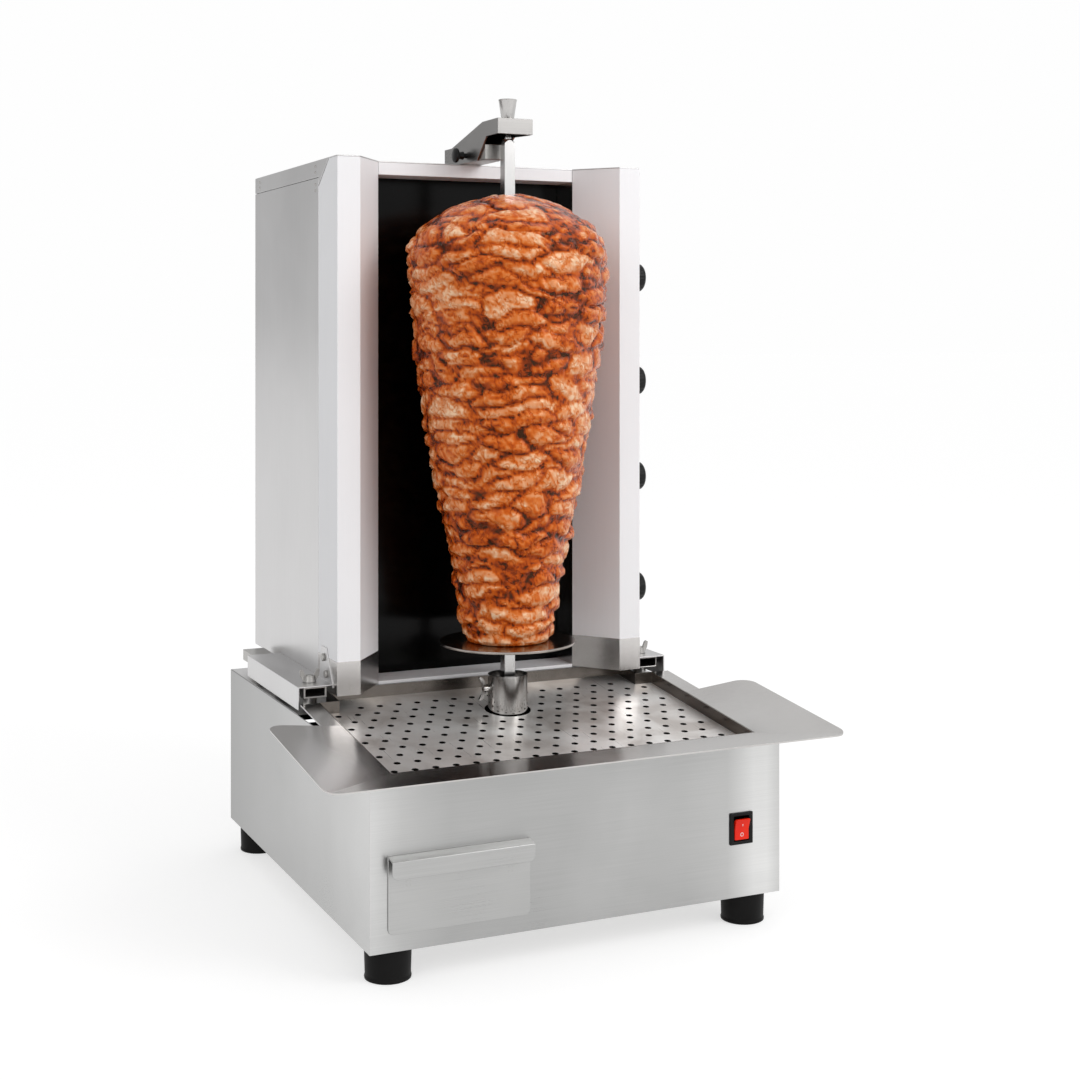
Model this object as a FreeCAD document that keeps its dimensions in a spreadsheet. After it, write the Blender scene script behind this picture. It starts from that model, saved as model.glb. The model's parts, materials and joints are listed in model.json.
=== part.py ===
import FreeCAD, Part
"""Vertical broiler: an electric skewer grill with a sliding heater tower.

A low sheet steel base holds a geared motor that turns an upright skewer. A flared drip pan
with a perforated plate surrounds the drive collar, and drains into a drawer. The heater tower
stands on two rails behind the skewer and slides away from the meat. An arm on top of the
tower holds the skewer's upper end with a lift-out pin.

Frame: +X to the right, +Y to the back, +Z up, origin on the floor under the middle of the
whole grill. Millimetres.
"""
import math
import os
import re

import Sketcher
from FreeCAD import Rotation, Vector

# ---------------------------------------------------------------------------------------------
# Driving sizes
# ---------------------------------------------------------------------------------------------
SIZES = {
    # sheet metal and general clearances
    "sheet": 1.5, "seat_gap": 0.3, "run_gap": 0.1,
    # base
    "base_width": 480, "base_depth": 540, "base_height": 190, "foot_height": 35,
    "foot_radius": 25, "foot_inset": 30, "foot_taper": 1.5, "foot_stud_radius": 4,
    "foot_stud_length": 9, "deck_front": -20, "back_slot_height": 4, "back_slot_length": 60,
    # drip pan
    "flare_half_width": 300, "flare_front": -320, "flare_back": -105, "flare_corner": 20,
    "pan_half_width": 213, "pan_front": -258, "pan_step": -22, "pan_back": 22,
    "pan_back_half_width": 190, "pan_rim": 23, "rim_front_height": 211.5, "rim_slope": 0.105,
    "side_flare_slope": 0.108, "front_flare_slope": 0.047, "plate_drop": 13.5,
    "plate_slope": 0.106, "plate_thickness": 2, "plate_gap": 6, "plate_hole": 8,
    "plate_pitch": 23, "plate_border": 16, "drain_radius": 12, "drain_length": 36,
    "drain_left": -142, "drain_back": 30,
    # skewer and its drive
    "skewer_back": -65, "bar_side": 13, "bar_bottom": 236, "bar_top": 872, "bar_shoulder": 8,
    "disc_radius": 79, "disc_thickness": 3, "disc_height": 296, "collar_radius": 23,
    "collar_bottom": 217, "collar_top": 260, "collar_wall": 3, "collar_recess": 9,
    "spindle_radius": 10, "plate_collar_hole": 27, "pan_collar_hole": 16,
    "gearbox_width": 96, "gearbox_depth": 78, "gearbox_height": 58, "motor_radius": 36,
    "motor_height": 56, "bracket_top": 168, "bracket_sheet": 3, "bearing_radius": 21,
    "bearing_height": 12, "meat_top": 816, "slice_fold": 4,
    # drawer
    "drawer_inset": 19, "drawer_width": 156, "drawer_bottom": 53, "drawer_height": 79,
    "drawer_depth": 190, "drawer_border": 6, "handle_reach": 13, "handle_lip": 12.5,
    "handle_drop": 8, "runner_ledge": 12,
    # mains switch
    "switch_x": 190, "switch_z": 111, "bezel_width": 29, "bezel_height": 35,
    "switch_body_width": 22, "switch_body_height": 28.5, "switch_body_depth": 24,
    "rocker_width": 18, "rocker_height": 24, "rocker_tilt": 9, "bezel_thickness": 2.2,
    # rails, carriages and clamps
    "rail_middle": 214.5, "rail_width": 27, "rail_height": 13, "rail_front": -8,
    "rail_length": 262, "rail_post_radius": 8, "rail_wall": 2, "carriage_outer": 236,
    "carriage_top": 254, "carriage_skirt": 26, "carriage_front": -13, "carriage_length": 216,
    "gusset_height": 38, "gusset_length": 52, "clamp_radius": 4, "clamp_back": 14,
    # heater tower
    "tower_half_width": 194, "tower_front": -26, "tower_back": 320, "tower_bottom": 246,
    "tower_top": 858, "wing_face": 27.5, "wing_inner": 127, "wing_throat": 25,
    "wing_side_end": 45, "wing_bottom": 243, "glass_front": 70, "glass_thickness": 4,
    "glass_gap": 0.3, "trim_top_drop": 16, "trim_bottom_height": 245, "cover_flange": 20,
    "cover_corner": 29, "seam": 0.6, "reflector_y": 150, "heater_spacing": 140,
    "heater_first": 325, "heater_bend": 20, "heater_radius": 5, "heater_y": 118,
    "heater_reach": 130, "holder_x": 118, "holder_width": 12, "board_thickness": 20,
    # controls on the right wing
    "knob_y": 8, "knob_z_a": 724, "knob_z_b": 596, "knob_z_c": 477, "knob_z_d": 339,
    "knob_radius": 17.5, "knob_height": 19, "knob_gap": 1, "shaft_radius": 3,
    "regulator_side": 32, "regulator_depth": 30, "gland_z": 307, "gland_radius": 5.5,
    "gland_plate_width": 22, "gland_plate_height": 26, "mains_gland_z": 75, "mains_gland_x": 150,
    "mains_gland_radius": 12, "mains_bore": 6,
    # top arm
    "arm_half_width": 22, "arm_front": -87, "arm_tail": 78, "arm_height": 18, "arm_top": 902,
    "arm_tail_top": 880, "arm_right": 6, "arm_sheet": 2, "guide_front": -45, "guide_back": 80,
    "guide_height": 18, "guide_gap": 0.3, "pin_radius": 4, "pin_depth": 12, "pin_low_radius": 7,
    "pin_top_radius": 11, "pin_handle": 24, "arm_knob_y": 10, "arm_knob_radius": 9,
    "arm_knob_reach": 16,
}

doc = FreeCAD.newDocument("SkewerGrill")
sheet = doc.addObject("Spreadsheet::Sheet", "Sizes")
for row, (name, value) in enumerate(SIZES.items(), start=1):
    sheet.set("A%d" % row, name)
    sheet.set("B%d" % row, str(value))
    sheet.setAlias("B%d" % row, name)
doc.recompute()

WORD = re.compile(r"[A-Za-z_]\w*")


def bound(text):
    """A formula in the sheet's words, written as a FreeCAD expression."""
    return WORD.sub(lambda m: "Sizes." + m.group(0) if m.group(0) in SIZES else m.group(0), str(text))


def number(text):
    """The value that a formula in the sheet's words has now."""
    return float(sheet.evalExpression(bound(text)))


# Heights and places that several pieces share, as formulas of the driving sizes.
BASE_TOP = "(foot_height + base_height)"
FLOOR_TOP = "(foot_height + sheet)"
FRONT_TOP = ("(rim_front_height + front_flare_slope * (base_depth / 2 + pan_front)"
             " - sheet - seat_gap)")
PIN_BORE = "(pin_radius + run_gap)"
RAIL_TOP = "(carriage_top - sheet - seat_gap)"
DRAWER = "(-base_width / 2 + drawer_inset)"
MEAT_LAYERS = 18


def plate_height(y):
    """Height of the perforated plate's upper face at y."""
    return "(rim_front_height - plate_drop + plate_slope * (%s - pan_front))" % y


# ---------------------------------------------------------------------------------------------
# Ways to make a piece
# ---------------------------------------------------------------------------------------------
NODES = []


def place(obj, at, turn=None):
    """Bind an object's position to formulas, with an optional fixed turn."""
    if turn is not None:
        obj.Placement = FreeCAD.Placement(Vector(0, 0, 0), turn)
    for axis, text in zip("xyz", at):
        obj.setExpression("Placement.Base." + axis, bound(text))
    return obj


def box(name, size, at):
    """A block from its size and its lowest corner."""
    obj = doc.addObject("Part::Box", name)
    for prop, text in zip(("Length", "Width", "Height"), size):
        obj.setExpression(prop, bound(text))
    return place(obj, at)


TURNS = {"z": None, "x": Rotation(Vector(0, 1, 0), 90), "y": Rotation(Vector(1, 0, 0), -90)}


def cylinder(name, radius, length, at, axis="z"):
    """A round bar along +X, +Y or +Z from the middle of its first end."""
    obj = doc.addObject("Part::Cylinder", name)
    obj.setExpression("Radius", bound(radius))
    obj.setExpression("Height", bound(length))
    return place(obj, at, TURNS[axis])


def cone(name, radius_low, radius_high, length, at, axis="z"):
    """A tapered round bar along +X, +Y or +Z."""
    obj = doc.addObject("Part::Cone", name)
    obj.setExpression("Radius1", bound(radius_low))
    obj.setExpression("Radius2", bound(radius_high))
    obj.setExpression("Height", bound(length))
    return place(obj, at, TURNS[axis])


def cut(name, base, tools):
    """One solid less the others."""
    tool = tools[0] if len(tools) == 1 else fuse(name + "_tools", tools)
    obj = doc.addObject("Part::Cut", name)
    obj.Base, obj.Tool = base, tool
    return obj


def fuse(name, parts):
    """Several solids joined as one."""
    obj = doc.addObject("Part::MultiFuse", name)
    obj.Shapes = parts
    obj.Refine = True
    return obj


def feature(name, shape, placement=None):
    """A shape that only Part's own functions make."""
    obj = doc.addObject("Part::Feature", name)
    obj.Shape = shape
    if placement is not None:
        obj.Placement = placement
    return obj


def node(obj, label):
    """Name a finished piece, so that it is written out."""
    obj.Label = label
    NODES.append(obj)
    return obj


def group(name, pieces, label):
    """Equal pieces that share one node, each still a solid of its own."""
    doc.recompute()
    whole = Part.makeCompound([piece.Shape for piece in pieces])
    return node(feature(name, whole), label)


PLANES = {"XY": "XY_Plane", "XZ": "XZ_Plane", "YZ": "YZ_Plane"}


def new_body(name, at=("0", "0", "0")):
    """An empty PartDesign body at a place bound to the sheet."""
    body = doc.addObject("PartDesign::Body", name)
    doc.recompute()
    return place(body, at)


def sketch(body, name, plane, outlines=(), circles=()):
    """A sketch on one of the body's planes, every corner and circle held by formulas."""
    drawn = body.newObject("Sketcher::SketchObject", name)
    origin = next(f for f in body.Origin.OriginFeatures if f.Role == PLANES[plane])
    drawn.AttachmentSupport = (origin, "")
    drawn.MapMode = "FlatFace"
    for points in outlines:
        corners = [Vector(number(u), number(v), 0) for u, v in points]
        first = drawn.GeometryCount
        for here, there in zip(corners, corners[1:] + corners[:1]):
            drawn.addGeometry(Part.LineSegment(here, there), False)
        last = first + len(points) - 1
        for index in range(first, last + 1):
            following = first if index == last else index + 1
            drawn.addConstraint(Sketcher.Constraint("Coincident", index, 2, following, 1))
        for offset, point in enumerate(points):
            for kind, text in zip(("DistanceX", "DistanceY"), point):
                held = Sketcher.Constraint(kind, -1, 1, first + offset, 1, number(text))
                which = drawn.addConstraint(held)
                drawn.setExpression("Constraints[%d]" % which, bound(text))
    for radius, (u, v) in circles:
        centre = Vector(number(u), number(v), 0)
        index = drawn.addGeometry(Part.Circle(centre, Vector(0, 0, 1), number(radius)), False)
        for kind, text in (("DistanceX", u), ("DistanceY", v)):
            held = Sketcher.Constraint(kind, -1, 1, index, 3, number(text))
            which = drawn.addConstraint(held)
            drawn.setExpression("Constraints[%d]" % which, bound(text))
        which = drawn.addConstraint(Sketcher.Constraint("Radius", index, number(radius)))
        drawn.setExpression("Constraints[%d]" % which, bound(radius))
    return drawn


def pad(body, profile, length, both=False, back=False):
    """Extrude a sketch. both runs it evenly to both sides of the plane."""
    made = body.newObject("PartDesign::Pad", profile.Name + "_pad")
    made.Profile = profile
    made.setExpression("Length", bound(length))
    made.Midplane = both
    made.Reversed = back
    doc.recompute()
    return made


def pocket(body, profile, length, both=True, back=False):
    """Cut a sketch out of the body, and check that it did cut."""
    before = body.Shape.Volume
    made = body.newObject("PartDesign::Pocket", profile.Name + "_pocket")
    made.Profile = profile
    made.setExpression("Length", bound(length))
    made.Midplane = both
    made.Reversed = back
    doc.recompute()
    if body.Shape.Volume > before - 1e-6:
        raise RuntimeError(profile.Name + " cut nothing")
    return made


def revolve(body, profile):
    """Turn a sketch on the XZ plane round the upright axis."""
    made = body.newObject("PartDesign::Revolution", profile.Name + "_turned")
    made.Profile = profile
    made.ReferenceAxis = (profile, ["V_Axis"])
    made.Angle = 360
    doc.recompute()
    return made


def rectangle(left, low, right, high):
    """The four corners of a rectangle, as formulas."""
    return [(left, low), (right, low), (right, high), (left, high)]


SIDES = (("left", "-1"), ("right", "1"))
NO_LIMIT = "2 * base_depth"


# ---------------------------------------------------------------------------------------------
# Base
# ---------------------------------------------------------------------------------------------
def base_casing():
    """Front and both sides of the base, folded from one sheet, open at the back."""
    body = new_body("casing_body", ("0", "0", "foot_height"))
    half, deep = "base_width / 2", "base_depth / 2"
    inner = "(base_width / 2 - sheet)"
    outline = [("-" + half, deep), ("-" + half, "-" + deep), (half, "-" + deep), (half, deep),
               (inner, deep), (inner, "-%s + sheet" % deep), ("-" + inner, "-%s + sheet" % deep),
               ("-" + inner, deep)]
    pad(body, sketch(body, "casing_plan", "XY", [outline]), "base_height")
    slope = [("-%s - 1" % deep, "base_height + 1"), ("-%s - 1" % deep, FRONT_TOP + " - foot_height"),
             ("-%s + sheet" % deep, FRONT_TOP + " - foot_height"), ("flare_back", "base_height"),
             ("flare_back", "base_height + 1")]
    pocket(body, sketch(body, "casing_slope", "YZ", [slope]), NO_LIMIT)
    opening = rectangle(DRAWER + " + drawer_border", "drawer_bottom + drawer_border - foot_height",
                        DRAWER + " + drawer_width - drawer_border",
                        "drawer_bottom + drawer_height - drawer_border - foot_height")
    hole = rectangle("switch_x - switch_body_width / 2",
                     "switch_z - switch_body_height / 2 - foot_height",
                     "switch_x + switch_body_width / 2",
                     "switch_z + switch_body_height / 2 - foot_height")
    pocket(body, sketch(body, "casing_front_holes", "XZ", [opening, hole]), NO_LIMIT)
    return node(body, "base_casing")


def foot_places():
    """Names and centres of the four feet."""
    inset_x, inset_y = "(base_width / 2 - foot_inset)", "(base_depth / 2 - foot_inset)"
    return [("%s_%s" % (end, side), "%s * %s" % (sign_x, inset_x), "%s * %s" % (sign_y, inset_y))
            for end, sign_y in (("front", "-1"), ("back", "1")) for side, sign_x in SIDES]


def base_floor():
    """Bottom sheet that carries the feet, the motor bracket and the drawer runners."""
    body = new_body("floor_body", ("0", "0", "foot_height"))
    half, deep = "(base_width / 2 - sheet)", "(base_depth / 2 - sheet)"
    holes = [("foot_stud_radius", (x, y)) for _, x, y in foot_places()]
    outline = rectangle("-" + half, "-" + deep, half, deep)
    pad(body, sketch(body, "floor_plan", "XY", [outline], holes), "sheet")
    return node(body, "base_floor")


def base_back():
    """Back sheet with ventilation slots and the hole for the mains gland."""
    body = new_body("back_body", ("0", "base_depth / 2 - sheet", "foot_height"))
    half = "(base_width / 2 - sheet)"
    outline = rectangle("-" + half, "0", half, "base_height")
    holes = [("mains_bore + 2", ("mains_gland_x", "mains_gland_z - foot_height"))]
    pad(body, sketch(body, "back_plan", "XZ", [outline], holes), "sheet", back=True)
    slots = [rectangle("%s - back_slot_length / 2" % x, "%d" % z, "%s + back_slot_length / 2" % x,
                       "%d + back_slot_height" % z)
             for x in ("-base_width / 8", "-base_width / 3.2") for z in range(70, 140, 14)]
    pocket(body, sketch(body, "back_slots", "XZ", slots), NO_LIMIT)
    return node(body, "base_back")


def base_deck():
    """Top sheet behind the pan, which carries the two rails."""
    body = new_body("deck_body", ("0", "0", BASE_TOP + " - sheet"))
    half, deep = "(base_width / 2 - sheet)", "(base_depth / 2 - sheet)"
    arm, throat = "(pan_back_half_width + sheet + 1)", "(pan_back + sheet + 1)"
    outline = [("-" + half, "deck_front"), ("-" + arm, "deck_front"), ("-" + arm, throat),
               (arm, throat), (arm, "deck_front"), (half, "deck_front"), (half, deep),
               ("-" + half, deep)]
    pad(body, sketch(body, "deck_plan", "XY", [outline]), "sheet")
    return node(body, "base_deck")


def feet():
    """Four round feet, each with a stud through the floor sheet."""
    made = []
    for where, x, y in foot_places():
        block = cone("foot_block_" + where, "foot_radius - foot_taper", "foot_radius",
                     "foot_height", (x, y, "0"))
        stud = cylinder("foot_stud_" + where, "foot_stud_radius", "foot_stud_length",
                        (x, y, "foot_height"))
        made.append(fuse("foot_body_" + where, [block, stud]))
    group("foot_group", made, "feet")


# ---------------------------------------------------------------------------------------------
# Drip pan and perforated plate
# ---------------------------------------------------------------------------------------------
def prism(corners, drop):
    """A plate with level-sided edges: corners on its upper face, drop downwards."""
    wire = Part.makePolygon([Vector(*c) for c in corners] + [Vector(*corners[0])])
    return Part.Face(wire).extrude(Vector(0, 0, -drop))


def rounded_plan(left, front, right, back, radius, low, high):
    """An upright block whose four corners are rounded."""
    block = Part.makeBox(right - left, back - front, high - low, Vector(left, front, low))
    upright = [e for e in block.Edges if abs(e.tangentAt(e.FirstParameter).z) > 0.99]
    return block.makeFillet(radius, upright)


def rim_z(x, y):
    """Height of the flared rim's upper face."""
    front, edge = number("pan_front"), number("pan_half_width")
    level = number("rim_front_height")
    out_x, out_y = max(abs(x) - edge, 0.0), front - y
    side = level - number("rim_slope") * out_y + number("side_flare_slope") * out_x
    return side


def drip_pan():
    """Flared stainless pan: a sloping rim welded round a tray that falls to the front."""
    thick = number("sheet")
    wide, front, back = (number(n) for n in ("flare_half_width", "flare_front", "flare_back"))
    edge, near, step, far = (number(n) for n in ("pan_half_width", "pan_front", "pan_step", "pan_back"))
    narrow, rim = number("pan_back_half_width"), number("pan_rim")
    level = number("rim_front_height")
    corner_z = rim_z(wide, front)
    low, high = 0.0, number("tower_top")
    solids = [prism([(-edge, near, level), (edge, near, level), (wide, front, corner_z),
                     (-wide, front, corner_z)], thick)]
    for sign in (-1, 1):
        solids.append(prism([(sign * edge, near, level), (sign * wide, front, corner_z),
                             (sign * wide, back, rim_z(wide, back)),
                             (sign * edge, back, rim_z(edge, back))], thick))
        solids.append(prism([(sign * edge, back, rim_z(edge, back)),
                             (sign * (edge + rim), back, rim_z(edge, back)),
                             (sign * (edge + rim), step, rim_z(edge, step)),
                             (sign * edge, step, rim_z(edge, step))], thick))
    outline = rounded_plan(-wide, front, wide, back, number("flare_corner"), low, high)
    outline = outline.fuse(Part.makeBox(2 * (edge + rim), step - front - 100, high,
                                        Vector(-edge - rim, front + 100, low)))
    rims = solids[0].multiFuse(solids[1:]).common(outline)

    def floor_z(y):
        return level - number("plate_drop") - number("plate_gap") + number("plate_slope") * (y - near)

    floor = prism([(-edge, near, floor_z(near)), (edge, near, floor_z(near)),
                   (edge, step, floor_z(step)), (narrow, step, floor_z(step)),
                   (narrow, far, floor_z(far)), (-narrow, far, floor_z(far)),
                   (-narrow, step, floor_z(step)), (-edge, step, floor_z(step))], thick)

    def wall(corner_a, corner_b, outward):
        """An upright wall from the floor up to the rim, thickened outwards."""
        (ax, ay), (bx, by) = corner_a, corner_b
        points = [Vector(ax, ay, floor_z(ay) - thick), Vector(bx, by, floor_z(by) - thick),
                  Vector(bx, by, level + number("rim_slope") * (by - near)),
                  Vector(ax, ay, level + number("rim_slope") * (ay - near))]
        return Part.Face(Part.makePolygon(points + points[:1])).extrude(Vector(*outward) * thick)

    walls = [wall((-edge - thick, near), (edge + thick, near), (0, -1, 0)),
             wall((-narrow - thick, far), (narrow + thick, far), (0, 1, 0))]
    for sign in (-1, 1):
        walls.append(wall((sign * edge, near - thick), (sign * edge, step + thick), (sign, 0, 0)))
        walls.append(wall((sign * narrow, step + thick), (sign * (edge + thick), step + thick),
                          (0, -1, 0)))
        walls.append(wall((sign * narrow, step), (sign * narrow, far + thick), (sign, 0, 0)))
    tray_plan = Part.makeBox(2 * (edge + thick), step - near + 2 * thick, high,
                             Vector(-edge - thick, near - thick, low))
    node(feature("pan_rim_shape", rims.cut(tray_plan).removeSplitter()), "pan_rim")
    pan = floor.multiFuse(walls)
    middle = number("skewer_back")
    hole = number("pan_collar_hole")
    upstand_low, upstand_high = floor_z(middle) - 4, number("collar_bottom") + 16
    tube = Part.makeCylinder(hole + thick, upstand_high - upstand_low, Vector(0, middle, upstand_low))
    drain_x, drain_y = number("drain_left"), near + number("drain_back")
    spout_top = floor_z(drain_y) + 1
    spout = Part.makeCylinder(number("drain_radius"), number("drain_length"),
                              Vector(drain_x, drain_y, spout_top - number("drain_length")))
    half_space = prism([(-edge, near, floor_z(near)), (edge, near, floor_z(near)),
                        (edge, far, floor_z(far)), (-edge, far, floor_z(far))], 2 * high)
    pan = pan.multiFuse([tube, spout.common(half_space)])
    pan = pan.cut(Part.makeCylinder(hole, high, Vector(0, middle, 0)))
    pan = pan.cut(Part.makeCylinder(number("drain_radius") - thick, level, Vector(drain_x, drain_y, 0)))
    return node(feature("pan_shape", pan.removeSplitter()), "drip_pan")


def perforated_plate():
    """Loose plate in the pan, with staggered drain holes and folded feet along its sides."""
    gap = number("seat_gap")
    thick = number("plate_thickness")
    edge, near, step, far = (number(n) for n in ("pan_half_width", "pan_front", "pan_step", "pan_back"))
    narrow, middle = number("pan_back_half_width"), number("skewer_back")
    inner, slim = edge - gap, narrow - gap

    def top_z(y):
        return number(plate_height("%.6f" % y))

    corners = [(-inner, near + gap), (inner, near + gap), (inner, step - gap), (slim, step - gap),
               (slim, far - gap), (-slim, far - gap), (-slim, step - gap), (-inner, step - gap)]
    plate = prism([(x, y, top_z(y)) for x, y in corners], thick)
    foot_drop = number("plate_gap") - gap
    for sign in (-1, 1):
        a, b = near + gap, step - gap
        points = [Vector(sign * inner, a, top_z(a)), Vector(sign * inner, b, top_z(b)),
                  Vector(sign * inner, b, top_z(b) - foot_drop),
                  Vector(sign * inner, a, top_z(a) - foot_drop)]
        leg = Part.Face(Part.makePolygon(points + points[:1])).extrude(Vector(-sign * thick, 0, 0))
        plate = plate.fuse(leg)
    pitch, border, radius = number("plate_pitch"), number("plate_border"), number("plate_hole") / 2
    clear = number("plate_collar_hole") + radius + 3
    octagon = [(radius * math.cos(math.pi * (k + 0.5) / 4), radius * math.sin(math.pi * (k + 0.5) / 4))
               for k in range(8)]
    holes = []
    rows = int((far - near - 2 * border) // pitch) + 1
    for row in range(rows):
        y = near + border + row * pitch
        reach = (edge if y < step - border / 2 else narrow) - border
        shift = pitch / 2 if row % 2 else 0.0
        count = int((reach - shift) // pitch)
        places = [shift + k * pitch for k in range(count + 1)]
        for x in sorted(set(places + [-p for p in places])):
            if math.hypot(x, y - middle) > clear:
                ring = [Vector(x + u, y + v, 0) for u, v in octagon]
                holes.append(Part.Face(Part.makePolygon(ring + ring[:1])))
    drills = Part.makeCompound(holes).extrude(Vector(0, 0, number("tower_top")))
    plate = plate.cut(drills)
    plate = plate.cut(Part.makeCylinder(number("plate_collar_hole"), number("tower_top"),
                                        Vector(0, middle, 0)))
    return node(feature("plate_shape", plate), "perforated_plate")


# ---------------------------------------------------------------------------------------------
# Skewer and its drive
# ---------------------------------------------------------------------------------------------
def geared_motor():
    """Motor under a gearbox, hung from an arched bracket that stands on the floor sheet."""
    top = "bracket_top"
    half = "(gearbox_width / 2 + 6)"
    leg = "bracket_sheet"
    body = new_body("bracket_body", ("0", "skewer_back", "0"))
    outline = [("-" + half, FLOOR_TOP), ("-%s + %s" % (half, leg), FLOOR_TOP),
               ("-%s + %s" % (half, leg), "%s - %s" % (top, leg)),
               ("%s - %s" % (half, leg), "%s - %s" % (top, leg)),
               ("%s - %s" % (half, leg), FLOOR_TOP), (half, FLOOR_TOP), (half, top), ("-" + half, top)]
    pad(body, sketch(body, "bracket_arch", "XZ", [outline]), "gearbox_depth", both=True)
    pocket(body, sketch(body, "bracket_hole", "XY", [], [("spindle_radius + 2", ("0", "0"))]), NO_LIMIT)
    node(body, "motor_bracket")
    low = "(bracket_top - bracket_sheet - gearbox_height)"
    block = box("gearbox_block", ("gearbox_width", "gearbox_depth", "gearbox_height"),
                ("-gearbox_width / 2", "skewer_back - gearbox_depth / 2", low))
    bore = cylinder("gearbox_bore", "spindle_radius + run_gap", "gearbox_height / 2",
                    ("0", "skewer_back", "bracket_top - bracket_sheet - gearbox_height / 2"))
    node(cut("gearbox_body", block, [bore]), "gearbox")
    can = cylinder("motor_can", "motor_radius", "motor_height",
                   ("0", "skewer_back", low + " - motor_height"))
    cap = cylinder("motor_cap", "motor_radius - 8", "4", ("0", "skewer_back", low + " - motor_height - 4"))
    node(fuse("motor_body", [can, cap]), "drive_motor")
    ring = cylinder("bearing_ring", "bearing_radius", "bearing_height", ("0", "skewer_back", top))
    hole = cylinder("bearing_hole", "spindle_radius + run_gap", "bearing_height", ("0", "skewer_back", top))
    node(cut("bearing_body", ring, [hole]), "spindle_bearing")


def drive_spindle():
    """Spindle from the gearbox up to the collar that the skewer stands in."""
    low = "(bracket_top - bracket_sheet - gearbox_height / 2 + seat_gap)"
    hub = "(collar_top - collar_recess)"
    node(cylinder("spindle_bar", "spindle_radius", "collar_bottom + collar_wall + 8 - " + low,
                  ("0", "skewer_back", low)), "drive_spindle")
    body = new_body("collar_body", ("0", "skewer_back", "0"))
    skirt = "(pan_collar_hole + sheet + 1.5)"
    shoulder = "(collar_bottom + collar_wall + 16)"
    outline = [("spindle_radius", "collar_bottom + collar_wall"), ("spindle_radius", "bar_bottom - 6"),
               ("bar_side * 0.25", "bar_bottom - 6"), ("bar_side * 0.25", hub),
               ("collar_radius - collar_wall", hub), ("collar_radius - collar_wall", "collar_top"),
               ("collar_radius", "collar_top"), ("collar_radius", "collar_bottom"),
               (skirt, "collar_bottom"), (skirt, shoulder), ("pan_collar_hole - 1.5", shoulder),
               ("pan_collar_hole - 1.5", "collar_bottom + collar_wall")]
    revolve(body, sketch(body, "collar_section", "XZ", [outline]))
    half = "bar_side / 2"
    square = rectangle("-" + half, "-" + half, half, half)
    profile = sketch(body, "collar_socket", "XY", [square])
    profile.setExpression(".AttachmentOffset.Base.z", bound("bar_bottom"))
    pocket(body, profile, "collar_top", both=False, back=True)
    side = sketch(body, "collar_screw_hole", "YZ", [], [("3.05", ("0", "collar_top - 15"))])
    pocket(body, side, "collar_radius + 1", both=False)
    return node(body, "drive_collar")


def collar_screw():
    """Wing screw through the collar's left side, which holds the skewer's foot."""
    z, y = "collar_top - 15", "skewer_back"
    start = "(bar_side / 2 + seat_gap)"
    shank = cylinder("collar_screw_shank", "3", "collar_radius - %s + 6" % start,
                     ("-collar_radius - 6", y, z), "x")
    hub = cylinder("collar_screw_hub", "4.5", "5", ("-collar_radius - 8", y, z), "x")
    wings = []
    for name, sign in (("up", 1), ("down", -1)):
        outline = [(-4.0, sign * 2.0), (-4.0, sign * 4.0), (-9.0, sign * 12.0), (-12.0, sign * 14.0),
                   (-13.5, sign * 12.5), (-8.0, sign * 2.0)]
        points = [Vector(u, 0, v) for u, v in outline]
        face = Part.Face(Part.makePolygon(points + points[:1]))
        wing = feature("collar_wing_" + name, face.extrude(Vector(0, 3, 0)))
        wings.append(place(wing, ("-collar_radius", "skewer_back - 1.5", z)))
    node(fuse("collar_screw_body", [shank, hub] + wings), "collar_wing_screw")


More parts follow.
